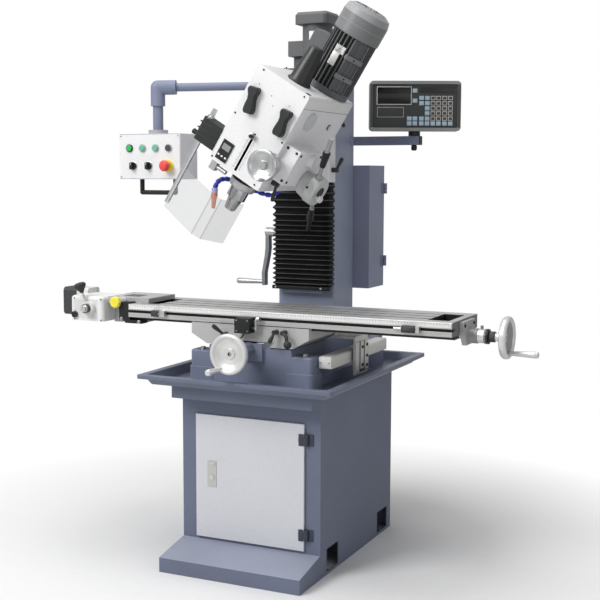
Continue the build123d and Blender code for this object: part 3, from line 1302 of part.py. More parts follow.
# Spindle nose with its tool taper and drive slots, up into the collar of the quill
NOSE = HEAD_BOTTOM - 56 - FACE_GAP
NOSE_TOP = HEAD_BOTTOM - RING_H - 8
with BuildPart() as spindle:
    turn(
        head_level(0, 0, SPINDLE_Y),
        [
            (0, NOSE - 89),
            (20, NOSE - 89),
            (27, NOSE - 44),
            (35, NOSE - 40),
            (35, NOSE),
            (SPINDLE_R, NOSE),
            (SPINDLE_R, NOSE_TOP),
            (0, NOSE_TOP),
        ],
    )
    turn(
        head_level(NOSE - 89, 0, SPINDLE_Y),
        [(0, -1), (15.9, -1), (13.3, 100), (0, 100)],
        Mode.SUBTRACT,
    )
    slab(head_level(NOSE - 89, 0, SPINDLE_Y), (-40, 40), (-6, 6), 10, Mode.SUBTRACT)
spindle.part.label = "spindle"
export_step(spindle.part, "parts/spindle.step")

# Spindle shaft in the quill, with the spline through the gear housing
with BuildPart() as spindle_shaft:
    turn(
        head_level(0, 0, SPINDLE_Y),
        [
            (0, NOSE_TOP),
            (SPINDLE_R, NOSE_TOP),
            (SPINDLE_R, 66),
            (15, 66),
            (15, COVER_TOP - 4),
            (0, COVER_TOP - 4),
        ],
    )
spindle_shaft.part.label = "spindle_shaft"
export_step(spindle_shaft.part, "parts/spindle_shaft.step")


def hub_direction(angle):
    """Direction of a feed lever, from straight up towards the back."""
    return UP * math.cos(math.radians(angle)) + Vector(0, 1, 0) * math.sin(math.radians(angle))


# Feed hub with its pinion shaft, two levers and the clutch knob
HUB_H = HEAD_X + FEED_BOX
with BuildPart() as feed_hub:
    disc(head_side(-18), HUB_SHAFT_R, HUB_H + 22, (HUB_Y, HUB_W))
    turn(
        head_side(HUB_H + FACE_GAP, HUB_Y, HUB_W),
        [(0, 0), (42, 0), (44, 4), (50, 34), (54, 40), (54, 70), (50, 76), (0, 76)],
    )
    for angle in (-27, 140):
        run = hub_direction(angle)
        turn(
            Plane(origin=head_point(HUB_H + 54, HUB_Y, HUB_W) + run * 40, z_dir=run),
            [
                (0, 0),
                (13, 0),
                (13, 22),
                (7, 26),
                (7, 62),
                (10, 66),
                (14, 124),
                (12, 130),
                (8, 132),
                (8, LEVER_REACH - 40),
                (0, LEVER_REACH - 40),
            ],
        )
    turn(
        head_side(HUB_H + 76, HUB_Y - 20, HUB_W - 14),
        [(0, 0), (5, 0), (5, 12), (12, 14), (12, 24), (8, 28), (0, 28)],
    )
feed_hub.part.label = "feed_hub"
export_step(feed_hub.part, "parts/feed_hub.step")

# Fine feed wheel with its graduated dial and worm shaft
with BuildPart() as fine_feed_wheel:
    turn(
        head_front(PANEL_FRONT, FINE_H, FINE_W),
        [
            (0, -115),
            (9, -115),
            (9, 2),
            (34, 2),
            (36, 5),
            (36, 36),
            (16, 42),
            (15, 62),
            (40, 68),
            (44, 62),
            (50, 60),
            (54, 63),
            (FINE_R, 70),
            (54, 78),
            (50, 81),
            (44, 79),
            (40, 75),
            (16, 70),
            (14, 78),
            (0, 78),
        ],
    )
    turn(
        head_front(PANEL_FRONT - 79, FINE_H + 34, FINE_W - 34),
        [(0, -4), (4, -4), (4, 6), (6, 10), (8, 34), (4, 42), (0, 42)],
    )
fine_feed_wheel.part.label = "fine_feed_wheel"
export_step(fine_feed_wheel.part, "parts/fine_feed_wheel.step")

# Clamp lever of the quill
with BuildPart() as quill_lock:
    disc(head_side(HEAD_X - 18), 5, 24, QUILL_LOCK)
    disc(head_side(HEAD_X + FACE_GAP), 9, 26, QUILL_LOCK)
    lever_arm(
        head_point(HEAD_X + 19, QUILL_LOCK[0], QUILL_LOCK[1]),
        head_point(HEAD_X + 34, QUILL_LOCK[0], QUILL_LOCK[1] - 58),
        7,
        5,
    )
quill_lock.part.label = "quill_lock"
export_step(quill_lock.part, "parts/quill_lock.step")

# Bracket of the chip guard on the left of the head
BRACKET_LOW = -114
BRACKET_H = 86
with BuildPart() as guard_bracket:
    slab(head_level(BRACKET_LOW), (ROD_H - 19, -HEAD_X), (ROD_Y - 24, ROD_Y + 36), BRACKET_H)
    upright = guard_bracket.edges().filter_by(Axis(head_point(0, 0, 0), UP))
    fillet(upright.group_by(Axis(head_point(0, 0, 0), RIGHT))[0], 18)
    disc(head_level(BRACKET_LOW), ROD_R + RUN_GAP, BRACKET_H, (ROD_H, ROD_Y), Mode.SUBTRACT)
guard_bracket.part.label = "guard_bracket"
export_step(guard_bracket.part, "parts/guard_bracket.step")

# Chip guard: rod in the bracket and a sheet bent around the tool
GUARD_TOP = -228
GUARD_BOTTOM = -390
with BuildPart() as chip_guard:
    disc(head_level(GUARD_BOTTOM + 18), ROD_R, 8 - GUARD_BOTTOM - 18, (ROD_H, ROD_Y))
    disc(head_level(BRACKET_LOW + BRACKET_H + FACE_GAP), 14, 8, (ROD_H, ROD_Y))
    with BuildSketch(head_level(GUARD_BOTTOM)):
        with BuildLine():
            Polyline((ROD_H, ROD_Y), (-12, ROD_Y - 62), (22, ROD_Y - 52), (60, ROD_Y + 52))
        trace(line_width=4)
    extrude(amount=GUARD_TOP - GUARD_BOTTOM)
chip_guard.part.label = "chip_guard"
export_step(chip_guard.part, "parts/chip_guard.step")

# Jointed coolant hose from the right of the head around the spindle to its nozzle
HOSE_R = 8
HOSE_POINTS = [
    (96, -120, HEAD_BOTTOM),
    (96, -120, -158),
    (70, -118, -168),
    (42, -117, -170),
    (14, -117, -170),
    (-14, -118, -171),
    (-42, -124, -172),
    (-66, -142, -174),
    (-80, -168, -178),
    (-86, -196, -186),
    (-82, -226, -196),
    (-74, -246, -210),
    (-66, -256, -236),
]
HOSE_TIP = (-26, -270, -300)
with BuildPart() as coolant_hose:
    for first, second in zip(HOSE_POINTS, HOSE_POINTS[1:]):
        start = head_point(*first)
        run = head_point(*second) - start
        turn(
            Plane(origin=start, z_dir=run),
            [
                (0, 0),
                (HOSE_R - 2, 0),
                (HOSE_R - 2, run.length * 0.25),
                (HOSE_R, run.length * 0.4),
                (HOSE_R, run.length),
                (0, run.length),
            ],
        )
        ball(head_point(*second), HOSE_R)
    start = head_point(*HOSE_POINTS[-1])
    run = head_point(*HOSE_TIP) - start
    turn(
        Plane(origin=start, z_dir=run),
        [(0, 0), (HOSE_R + 2, 6), (HOSE_R + 2, 26), (5, 38), (4, run.length), (0, run.length)],
    )
coolant_hose.part.label = "coolant_hose"
export_step(coolant_hose.part, "parts/coolant_hose.step")
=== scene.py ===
import math
import bmesh
import bpy
from mathutils import Matrix, Vector


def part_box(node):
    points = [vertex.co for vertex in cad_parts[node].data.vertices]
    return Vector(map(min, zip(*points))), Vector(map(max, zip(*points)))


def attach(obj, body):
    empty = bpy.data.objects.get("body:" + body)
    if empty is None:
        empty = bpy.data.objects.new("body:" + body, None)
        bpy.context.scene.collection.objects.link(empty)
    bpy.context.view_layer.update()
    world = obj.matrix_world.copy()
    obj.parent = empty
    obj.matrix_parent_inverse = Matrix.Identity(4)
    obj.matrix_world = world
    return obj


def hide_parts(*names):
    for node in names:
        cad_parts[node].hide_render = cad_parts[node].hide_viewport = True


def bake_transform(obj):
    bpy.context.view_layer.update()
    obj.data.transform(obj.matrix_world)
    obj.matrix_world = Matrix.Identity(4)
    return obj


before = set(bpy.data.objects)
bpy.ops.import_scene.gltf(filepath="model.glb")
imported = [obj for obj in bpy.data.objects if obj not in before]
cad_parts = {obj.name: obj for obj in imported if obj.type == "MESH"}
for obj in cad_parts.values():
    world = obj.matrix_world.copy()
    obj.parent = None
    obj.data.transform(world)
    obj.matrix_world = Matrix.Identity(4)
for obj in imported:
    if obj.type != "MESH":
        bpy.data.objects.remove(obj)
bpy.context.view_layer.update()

# Studio: the machine stands on a pale floor, with a broad soft lamp at the front left, one overhead
# and a weak fill on the right. The camera stands at about chest height, to the right of the front.
CAMERA_AT = Vector((1.8236, -3.826, 1.382))
CAMERA_YAW, CAMERA_PITCH, CAMERA_ROLL = 25.08, 6.2, 0.16
SENSOR, LENS = 36, 68.815
AIM = Vector((0, 0, 1))
AMBIENT, GLINT = 0.30, 0.6
WHITE = (1, 1, 1, 1)
FLOOR_RADIUS, FLOOR_DROP = 9.0, 0.0005
FLOOR_ROUGH, FLOOR_PALE = 0.9, (0.84, 0.88)
SHADOW_REACH = (0.75, 1.7)
scene = bpy.context.scene
scene.view_settings.view_transform = "Standard"
camera = bpy.data.objects.new("camera", bpy.data.cameras.new("camera"))
camera.data.sensor_width = SENSOR
camera.data.lens = LENS
camera.matrix_world = (
    Matrix.Translation(CAMERA_AT)
    @ Matrix.Rotation(math.radians(CAMERA_YAW), 4, "Z")
    @ Matrix.Rotation(math.radians(90 - CAMERA_PITCH), 4, "X")
    @ Matrix.Rotation(math.radians(CAMERA_ROLL), 4, "Z")
)
scene.collection.objects.link(camera)
scene.camera = camera


def lamp(name, at, aim, size, level):
    """Square area lamp that lights a white card at the aim to the given level."""
    light = bpy.data.lights.new(name, "AREA")
    light.size = size
    light.energy = level * math.pi ** 2 * (Vector(at) - aim).length_squared
    made = bpy.data.objects.new(name, light)
    made.location = at
    made.rotation_euler = (aim - Vector(at)).to_track_quat("-Z", "Y").to_euler()
    scene.collection.objects.link(made)


lamp("key_lamp", (-2.2, -4.0, 4.2), AIM, 2.5, 0.62)
lamp("top_lamp", (-0.2, -0.5, 4.5), AIM, 3.0, 0.66)
lamp("fill_lamp", (3.5, -2.5, 2.0), AIM, 2.0, 0.06)


class Nodes:
    """Shader node tree, with a short way to add each kind of node and get its output."""

    def __init__(self, tree):
        self.tree = tree

    def feed(self, socket, value):
        """Sets a socket to a value, or links it to another node's output."""
        if isinstance(value, bpy.types.NodeSocket):
            self.tree.links.new(value, socket)
        else:
            socket.default_value = value

    def put(self, kind, feeds=None, output=0, **settings):
        made = self.tree.nodes.new("ShaderNode" + kind)
        for key, value in settings.items():
            setattr(made, key, value)
        for key, value in (feeds or {}).items():
            self.feed(made.inputs[key], value)
        return made.outputs[output]

    def math(self, operation, first, second):
        return self.put("Math", {0: first, 1: second}, operation=operation)

    def vector(self, operation, first, second=(0, 0, 0)):
        output = "Value" if operation in ("LENGTH", "DOT_PRODUCT") else "Vector"
        return self.put("VectorMath", {0: first, 1: second}, output, operation=operation)

    def spread(self, value, low, high, start=0.0, end=1.0):
        """Value from start to end, laid out again from low to high."""
        return self.put("MapRange", {
            "Value": value, "From Min": start, "From Max": end, "To Min": low, "To Max": high})

    def noise(self, place, scale, detail):
        return self.put("TexNoise", {"Vector": place, "Scale": scale, "Detail": detail}, "Fac")

    def mix_colour(self, share, first, second):
        return self.put("Mix", {0: share, 6: first, 7: second}, 2, data_type="RGBA")

    def mix_value(self, share, first, second):
        return self.put("Mix", {0: share, 2: first, 3: second}, data_type="FLOAT")


def plain_sight(nodes):
    """One for rays that the eye follows: straight or through glass."""
    path = nodes.put("LightPath").node.outputs
    return nodes.math("MAXIMUM", path["Is Camera Ray"], path["Is Transmission Ray"])


studio = bpy.data.worlds.new("studio")
studio.use_nodes = True
scene.world = studio
sky = Nodes(studio.node_tree)
backdrop = sky.tree.nodes["Background"].inputs
backdrop["Color"].default_value = WHITE
around = sky.spread(sky.put("LightPath", output="Is Glossy Ray"), AMBIENT, GLINT)
sky.feed(backdrop["Strength"], sky.spread(plain_sight(sky), around, 1.0))

floor_mesh = bmesh.new()
bmesh.ops.create_circle(floor_mesh, cap_ends=True, radius=FLOOR_RADIUS, segments=96)
floor = bpy.data.objects.new("floor", bpy.data.meshes.new("floor"))
floor_mesh.to_mesh(floor.data)
floor_mesh.free()
scene.collection.objects.link(floor)
floor.location.z = -FLOOR_DROP
floor_look = bpy.data.materials.new("pale_floor")
floor_look.use_nodes = True
ground = Nodes(floor_look.node_tree)
matt = ground.tree.nodes["Principled BSDF"]
matt.inputs["Roughness"].default_value = FLOOR_ROUGH
spot = ground.put("TexCoord", output="Object")
ground.feed(matt.inputs["Base Color"], ground.spread(ground.noise(spot, 30.0, 4.0), *FLOOR_PALE))
fade = ground.spread(ground.vector("LENGTH", spot), 0.0, 1.0, *SHADOW_REACH)
seen = ground.math("MULTIPLY", fade, plain_sight(ground))
white = ground.put("Emission", {"Color": WHITE, "Strength": 1.0})
blank = ground.put("MixShader", {0: seen, 1: matt.outputs[0], 2: white})
ground.feed(ground.tree.nodes["Material Output"].inputs["Surface"], blank)
floor.data.materials.append(floor_look)

# Stand: a cabinet of folded and welded sheet steel, open below, powder coated blue grey. Its toe
# plate is painted paler as a painted highlight from above, and the fixed leaves of the door hinges
# are dark steel.
STAND_BLUE, TOE_LIT_BLUE, HINGE_GREY = "6b7286", "9da3b4", "3d4350"
HINGE_LEVELS = ((0.1295, 0.1715), (0.4635, 0.5055))
TOE_SIDE, TOE_FRONT, TOE_FOOT, TOE_TOP = 0.270, -0.5072, 0.03, 0.086
LEAF_LEFT, LEAF_RIGHT, LEAF_FRONT = 0.2, 0.3, -0.4
MID = (0.3, 0.7)


def colour(code):
    """Linear colour of a six digit screen colour."""
    parts = [int(code[at:at + 2], 16) / 255 for at in (0, 2, 4)]
    return (*[((part + 0.055) / 1.055) ** 2.4 if part > 0.04045 else part / 12.92
              for part in parts], 1.0)


class Effect(Nodes):
    """Shader group with named sockets. Given is what comes in, result is what goes out."""

    def __init__(self, name, inputs, outputs):
        super().__init__(bpy.data.node_groups.new(name, "ShaderNodeTree"))
        add = self.tree.interface.new_socket
        for label, value in inputs.items():
            size = 1 if isinstance(value, float) else len(value)
            kind = {1: "Float", 3: "Vector", 4: "Color"}[size]
            socket = add(label, in_out="INPUT", socket_type="NodeSocket" + kind)
            socket.default_value = value
        for label, kind in outputs.items():
            add(label, in_out="OUTPUT", socket_type="NodeSocket" + kind)
        self.given = self.tree.nodes.new("NodeGroupInput").outputs
        self.result = self.tree.nodes.new("NodeGroupOutput").inputs

    def round_axis(self, point):
        """Place of a point along the given axis, and its distance from it."""
        arm = self.vector("SUBTRACT", point, self.given["Centre"])
        away = self.vector("LENGTH", self.vector("CROSS_PRODUCT", arm, self.given["Axis"]))
        return self.vector("DOT_PRODUCT", arm, self.given["Axis"]), away

    def close_mask(self, gaps):
        """Sets the mask to one where all the gaps are above zero."""
        inside = gaps[0]
        for gap in gaps[1:]:
            inside = self.math("MINIMUM", inside, gap)
        self.feed(self.result["Mask"], self.math("GREATER_THAN", inside, 0.0))


# Rounded edges, and a mask of them that finishes rub paler: partly wear, partly a painted highlight
edges = Effect("soft_edges", {"Radius": 0.001}, {"Normal": "Vector", "Edge": "Float"})
rounded = edges.put("Bevel", {"Radius": edges.given["Radius"]}, samples=4)
facing = edges.vector("DOT_PRODUCT", rounded, edges.put("NewGeometry", output="Normal"))
edges.feed(edges.result["Normal"], rounded)
edges.feed(edges.result["Edge"], edges.spread(facing, 0.0, 1.0, 0.995, 0.86))


class Film(Effect):
    """What a finish does to its colour, roughness and height over a surface."""

    def __init__(self, name, **own):
        inputs = {"Colour": (0.5, 0.5, 0.5, 1.0), "Roughness": 0.4, "Edge": 0.0, **own}
        super().__init__(name, inputs, {"Colour": "Color", "Roughness": "Float", "Height": "Float"})
        self.place = self.put("TexCoord", output="Object")

    def cloud(self, scale, detail):
        return self.noise(self.place, scale, detail)

    def less(self, label):
        """One less a given share."""
        return self.math("SUBTRACT", 1.0, self.given[label])

    def mottle(self, cloud):
        """Tone that swings round one by the given mottle."""
        return self.spread(
            cloud, self.less("Mottle"), self.math("ADD", 1.0, self.given["Mottle"]), *MID)

    def lit_edge(self, tone, share):
        return self.math("ADD", tone, self.math("MULTIPLY", self.given["Edge"], share))

    def shade(self, tone, tint=None):
        """Given colour, or another one, made darker or paler."""
        tint = tint or self.given["Colour"]
        return self.put("VectorMath", {0: tint, "Scale": tone}, operation="SCALE")

    def close(self, tint, dull, height):
        self.feed(self.result["Colour"], tint)
        self.feed(self.result["Roughness"], self.math("MULTIPLY", self.given["Roughness"], dull))
        self.feed(self.result["Height"], height)


film = paint_film = Film("paint_film", Mottle=0.05, Peel=700.0, Rub=0.35)
speck = film.cloud(160.0, 3.0)
flecks = film.spread(speck, 0.97, 1.03, *MID)
coat = film.shade(film.math("MULTIPLY", film.mottle(film.cloud(5.0, 4.0)), flecks))
# Edges rubbed paler: partly worn paint, partly a painted highlight.
rub_and_highlight = film.math("MULTIPLY", film.given["Edge"], film.given["Rub"])
film.close(film.mix_colour(rub_and_highlight, coat, film.shade(1.35, coat)),
           film.spread(speck, 0.88, 1.12, *MID), film.cloud(film.given["Peel"], 1.0))

# Zone of a piece where its finish changes, here by box
box_zone = Effect("box_zone", {
    "Point": (0, 0, 0), "Low": (0, 0, 0), "High": (1, 1, 1)}, {"Mask": "Float"})
given = box_zone.given
box_gaps = []
for far, near in (("Point", "Low"), ("High", "Point")):
    gap = box_zone.vector("SUBTRACT", given[far], given[near])
    box_gaps += box_zone.put("SeparateXYZ", {0: gap}).node.outputs[:]
box_zone.close_mask(box_gaps)


def box_of(low, high, code, rough, metal=0.0):
    """Another finish inside a box."""
    return box_zone, {"Low": low, "High": high}, code, rough, metal


def own_point(nodes, turned):
    """Point on the surface, in the piece's own axes where they are turned."""
    point = nodes.put("TexCoord", output="Object")
    if turned:
        feeds = {"Vector": point, "Location": turned[0], "Rotation": turned[1]}
        point = nodes.put("Mapping", feeds, vector_type="TEXTURE")
    return point


def finish(name, film, code, rough, metal=0.0, zones=(), turned=None, radius=0.001, relief=0.0001,
           gloss=0.3, **settings):
    """Material from a film, with other finishes in its zones.
    Turned is the place and turn of the piece's own axes."""
    made = bpy.data.materials.new(name)
    made.use_nodes = True
    nodes = Nodes(made.node_tree)
    shader = made.node_tree.nodes["Principled BSDF"].inputs
    shader["Specular IOR Level"].default_value = gloss
    edge = nodes.put("Group", {"Radius": radius}, "Edge", node_tree=edges.tree)
    tint, dull, share = colour(code), rough, metal
    point = own_point(nodes, turned) if zones else None
    for zone, sizes, zone_code, zone_rough, zone_metal in zones:
        mask = nodes.put("Group", {"Point": point, **sizes}, node_tree=zone.tree)
        tint = nodes.mix_colour(mask, tint, colour(zone_code))
        dull = nodes.mix_value(mask, dull, zone_rough)
        if share != zone_metal:
            share = nodes.mix_value(mask, share, zone_metal)
    feeds = {"Colour": tint, "Roughness": dull, "Edge": edge, **settings}
    layer = nodes.put("Group", feeds, node_tree=film.tree).node.outputs
    bump = nodes.put("Bump", {"Strength": 1.0, "Distance": relief, "Height": layer["Height"],
                              "Normal": edge.node.outputs["Normal"]})
    for label, value in (("Base Color", layer["Colour"]), ("Roughness", layer["Roughness"]),
                         ("Metallic", share), ("Normal", bump)):
        nodes.feed(shader[label], value)
    return made


def dress(material, *nodes):
    """Gives the model's own solids their finish."""
    for name in nodes:
        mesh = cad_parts[name].data
        mesh.materials.clear()
        mesh.materials.append(material)


stand_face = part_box("stand_door")[1].y
stand_look = finish("stand_paint", paint_film, STAND_BLUE, 0.5, Peel=420.0, zones=[
    box_of((-TOE_SIDE, TOE_FRONT, TOE_FOOT), (TOE_SIDE, stand_face, TOE_TOP), TOE_LIT_BLUE, 0.5),
    *[box_of((LEAF_LEFT, LEAF_FRONT, low), (LEAF_RIGHT, stand_face - 0.0003, high), HINGE_GREY, 0.5)
      for low, high in HINGE_LEVELS]])
dress(stand_look, "stand_cabinet")

# Door of the stand: a flat steel panel in pale grey on two dark hinges, with a flush lock in its
# left edge: a nickel plated frame around a swing handle and the key barrel.
DOOR_GREY, LOCK_SILVER = "d3d4d9", "c2c2be"
LOCK_LEFT, LOCK_RIGHT, LOCK_FOOT, LOCK_HEAD, LOCK_RIM = -0.165, -0.129, 0.281, 0.375, 0.0005
DOOR_EDGE, DOOR_SKIN, DOOR_BACK = 0.2122, -0.3482, -0.3
door_zones = [zone for low, high in HINGE_LEVELS for zone in (
    box_of((0.1, LEAF_FRONT, low), (LEAF_RIGHT, DOOR_SKIN, high), HINGE_GREY, 0.5),
    box_of((DOOR_EDGE, LEAF_FRONT, low), (LEAF_RIGHT, DOOR_BACK, high), HINGE_GREY, 0.5))]
door_zones.append(box_of(
    (LOCK_LEFT - LOCK_RIM, -0.36, LOCK_FOOT - LOCK_RIM),
    (LOCK_RIGHT + LOCK_RIM, DOOR_SKIN, LOCK_HEAD + LOCK_RIM), LOCK_SILVER, 0.4, 0.5))
door_look = finish("door_paint", paint_film, DOOR_GREY, 0.45, Mottle=0.015, Peel=420.0,
                   zones=door_zones)
dress(door_look, "stand_door")

# Lock of the door: a turned key barrel and a swing handle above it, both nickel plated. The moving
# leaves of the hinges are dark steel, on the right edge of the door.
CROSS = (0, 1, 0)
LOCK_SKIN, HANDLE_IN, HANDLE_PROUD, HANDLE_FOOT = -0.3502, 0.006, 0.0022, 0.016
LEAF, LEAF_PROUD, LEAF_SUNK, LEAF_PLAY = (0.1925, 0.2112), 0.0026, 0.0004, 0.0005
film = lathe_film = Film("lathe_film", Centre=(0, 0, 0), Axis=(0, 0, 1), Rings=2500.0, Streak=0.12)
along, away = film.round_axis(film.place)
groove = film.math("MULTIPLY", film.math("ADD", along, away), film.given["Rings"])
rings = film.put("TexNoise", {"W": groove, "Scale": 1.0, "Detail": 3.0}, noise_dimensions="1D")
tone = film.spread(rings, film.less("Streak"), 1.04, 0.25, 0.75)
smear = film.spread(film.cloud(25.0, 4.0), 0.93, 1.05, *MID)
tone = film.lit_edge(film.math("MULTIPLY", tone, smear), 0.12)
film.close(film.shade(tone), film.spread(rings, 0.75, 1.25, 0.25, 0.75), rings)


def middle(node):
    """Centre of a node's box."""
    low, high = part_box(node)
    return (low + high) / 2


def piece(name, mesh, material, body):
    """Object from a finished mesh, riding on a body."""
    data = bpy.data.meshes.new(name)
    bmesh.ops.recalc_face_normals(mesh, faces=mesh.faces)
    mesh.to_mesh(data)
    mesh.free()
    data.shade_smooth()
    data.set_sharp_from_angle(angle=math.radians(35))
    made = bpy.data.objects.new(name, data)
    data.materials.append(material)
    scene.collection.objects.link(made)
    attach(made, body)
    return made


def add_prism(mesh, outline, low, high, at, bevel=0.0):
    """Straight prism on an outline, with its edges rounded over."""
    foot, head = [[mesh.verts.new(at @ Vector((x, y, z))) for x, y in outline] for z in (low, high)]
    faces = [mesh.faces.new(foot), mesh.faces.new(head)]
    for step in range(len(outline)):
        after = (step + 1) % len(outline)
        faces.append(mesh.faces.new((foot[step], foot[after], head[after], head[step])))
    if bevel:
        rim = list(dict.fromkeys(edge for face in faces for edge in face.edges))
        bmesh.ops.bevel(mesh, geom=rim, offset=bevel, segments=2, affect="EDGES", profile=0.5)


def add_block(mesh, low, high, bevel, at=Matrix.Identity(4)):
    """Block between two corners with rounded edges."""
    outline = [(low[0], low[1]), (high[0], low[1]), (high[0], high[1]), (low[0], high[1])]
    add_prism(mesh, outline, low[2], high[2], at, bevel)


def blocks(name, corners, bevel, material, body, at=Matrix.Identity(4)):
    """Piece of blocks, each given by two corners."""
    mesh = bmesh.new()
    for low, high in corners:
        add_block(mesh, low, high, bevel, at)
    return piece(name, mesh, material, body)


lock_at = middle("door_lock")
lock_look = finish("nickel_plate", lathe_film, "d2d2ce", 0.34, 0.7, relief=0.00003,
                   Centre=lock_at, Axis=CROSS)
dress(lock_look, "door_lock")
blocks("lock_handle", [(
    (LOCK_LEFT + HANDLE_IN, LOCK_SKIN - HANDLE_PROUD, lock_at.z + HANDLE_FOOT),
    (LOCK_RIGHT - HANDLE_IN, LOCK_SKIN, LOCK_HEAD - HANDLE_IN))],
    0.0012, lock_look, "stand_door")
leaf_grey = finish("hinge_steel", paint_film, HINGE_GREY, 0.5, radius=0.0008)
blocks("door_hinge_leaves", [(
    (LEAF[0], DOOR_SKIN - LEAF_PROUD, low + LEAF_PLAY),
    (LEAF[1], DOOR_SKIN + LEAF_SUNK, high - LEAF_PLAY)) for low, high in HINGE_LEVELS],
    0.0008, leaf_grey, "stand_door")

# Chip tray: a sheet steel pan with a folded rim, between the machine base and the stand, coated
# glossier than the stand that carries it. Its colour is painted a little darker as painted shade,
# and its edges get a strong painted highlight.
TRAY_SHADED_BLUE = "666d81"
tray_look = finish("tray_paint", paint_film, TRAY_SHADED_BLUE, 0.34, radius=0.003, gloss=0.5,
                   Peel=420.0, Rub=1.0)
dress(tray_look, "chip_tray")

# Machine base: a painted casting in grey iron, with a skin left by the sand mould, ground ways on
# top and four bolts with washers that hold its bosses down on the stand through the tray.
CAST_BLUE, STEEL = "7b8297", "c2c3c4"
WAY_SIDE, WAY_FRONT, WAY_BACK, WAY_DEEP = 0.2, -0.3405, 0.11, 0.0218
FOOT_BOLT, BOSS_TOP = 0.011, 0.767
FOOT_X, FOOT_YS = 0.2, (-0.312, 0.262)
UP = (0, 0, 1)
film = cast_film = Film("cast_film", Mottle=0.06, Sand=260.0, Rub=0.3)
sand = film.cloud(film.given["Sand"], 3.0)
tone = film.math("MULTIPLY", film.mottle(film.cloud(9.0, 4.0)), film.spread(sand, 0.96, 1.04, *MID))
# Edges rubbed paler: partly worn casting skin, partly a painted highlight.
rub_and_highlight = film.math("MULTIPLY", film.given["Edge"], film.given["Rub"])
tone = film.math("MULTIPLY", tone, film.math("ADD", rub_and_highlight, 1.0))
film.close(film.shade(tone), film.spread(sand, 0.85, 1.15), sand)

base_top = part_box("machine_base")[1].z
base_look = finish("base_casting", cast_film, CAST_BLUE, 0.5, relief=0.0004, radius=0.002, zones=[
    box_of((-WAY_SIDE, WAY_FRONT, base_top - WAY_DEEP), (WAY_SIDE, WAY_BACK, base_top + 0.001),
           STEEL, 0.3, 0.9)])
dress(base_look, "machine_base")


def stand_at(point, axis=UP):
    """Frame at a point whose own z runs along the axis."""
    return Matrix.Translation(point) @ Vector(axis).to_track_quat("Z", "Y").to_matrix().to_4x4()


def polygon(sides, radius):
    """Corners of an even polygon."""
    angles = [2 * math.pi * side / sides for side in range(sides)]
    return [(radius * math.cos(angle), radius * math.sin(angle)) for angle in angles]


def add_turned(mesh, profile, at, steps=32):
    """Closed turned form from points of radius and height."""
    rings = []
    for radius, height in profile:
        if radius < 1e-6:
            rings.append([mesh.verts.new(at @ Vector((0, 0, height)))] * steps)
        else:
            circle = polygon(steps, radius)
            rings.append([mesh.verts.new(at @ Vector((x, y, height))) for x, y in circle])
    for lower, upper in zip(rings, rings[1:]):
        for step in range(steps):
            after = (step + 1) % steps
            corners = dict.fromkeys((lower[step], lower[after], upper[after], upper[step]))
            if len(corners) > 2:
                mesh.faces.new(list(corners))
    for ring in (rings[0], rings[-1]):
        if ring[0] is not ring[1]:
            mesh.faces.new(ring)


def add_bolt(mesh, point, axis, size):
    """Hexagon head on a washer."""
    at = stand_at(point, axis)
    add_turned(mesh, [(0, 0), (size * 1.1, 0), (size * 1.1, size * 0.16), (size * 1.02, size * 0.2),
                      (0, size * 0.2)], at)
    add_prism(mesh, polygon(6, size * 0.92), size * 0.2, size * 0.85, at, size * 0.06)
    add_turned(mesh, [(0, size * 0.84), (size * 0.72, size * 0.84), (size * 0.66, size * 0.9),
                      (0, size * 0.9)], at)


def fasten(name, add_head, size, places, material, body):
    """Piece of like bolts or screws, each given by its place and the way it faces."""
    mesh = bmesh.new()
    for point, axis in places:
        add_head(mesh, point, axis, size)
    piece(name, mesh, material, body)


film = zinc_film = Film("zinc_film", Bloom=90.0)
bloom = film.cloud(film.given["Bloom"], 5.0)
tone = film.lit_edge(film.spread(bloom, 0.82, 1.08, *MID), 0.15)
film.close(film.shade(tone), film.spread(bloom, 0.8, 1.25), film.cloud(1500.0, 1.0))
zinc = finish("zinc_screws", zinc_film, "b4b5b6", 0.34, 1.0, radius=0.0004, relief=0.00002)
fasten("base_bolts", add_bolt, FOOT_BOLT, [
    ((foot_x, foot_y, BOSS_TOP), UP) for foot_x in (-FOOT_X, FOOT_X) for foot_y in FOOT_YS],
    zinc, "frame")

# Linear scale of the cross feed: an aluminium extrusion along the right side of the base, with its
# reading head on an angle plate under the saddle.
END_PLATE, END_SCREW, END_IN, PLATE_IN, LIP_IN = 0.0014, 0.0028, 0.008, 0.001, 0.005
READER_FOOT, READER_HEAD, BAR_PROUD, READER_SCREW = 0.004, 0.116, 0.004, 0.0055
LONG = (1, 0, 0)
READER_BARS = ((-0.129, -0.096, 0.0), (-0.085, -0.055, 0.012), (-0.044, -0.011, 0.004))
READER_SCREWS = ((-0.0275, 0.024), (-0.0275, 0.058), (-0.0275, 0.098), (-0.070, 0.030),
                 (-0.070, 0.094))
film = grind_film = Film("grind_film", Stretch=(6.0, 400.0, 400.0), Streak=0.1, Patina=0.06)
lines = film.noise(film.vector("MULTIPLY", film.place, film.given["Stretch"]), 1.0, 5.0)
tone = film.spread(lines, film.less("Streak"), 1.03, *MID)
stain = film.spread(film.cloud(7.0, 5.0), film.less("Patina"), 1.02, *MID)
tone = film.lit_edge(film.math("MULTIPLY", tone, stain), 0.1)
film.close(film.shade(tone), film.spread(lines, 0.75, 1.25, *MID), lines)

scale_look = finish("scale_aluminium", grind_film, "e9e9e5", 0.5, 0.15, relief=0.00003,
                    Stretch=(500.0, 8.0, 500.0))
dress(scale_look, "y_scale")


def add_screw(mesh, point, axis, radius):
    """Socket head with a round recess, its edge broken."""
    top = radius * 0.6
    add_turned(mesh, [
        (0, top * 0.35), (radius * 0.42, top * 0.35), (radius * 0.5, top), (radius * 0.86, top),
        (radius, top * 0.75), (radius, -0.0002), (0, -0.0002)], stand_at(point, axis), 18)


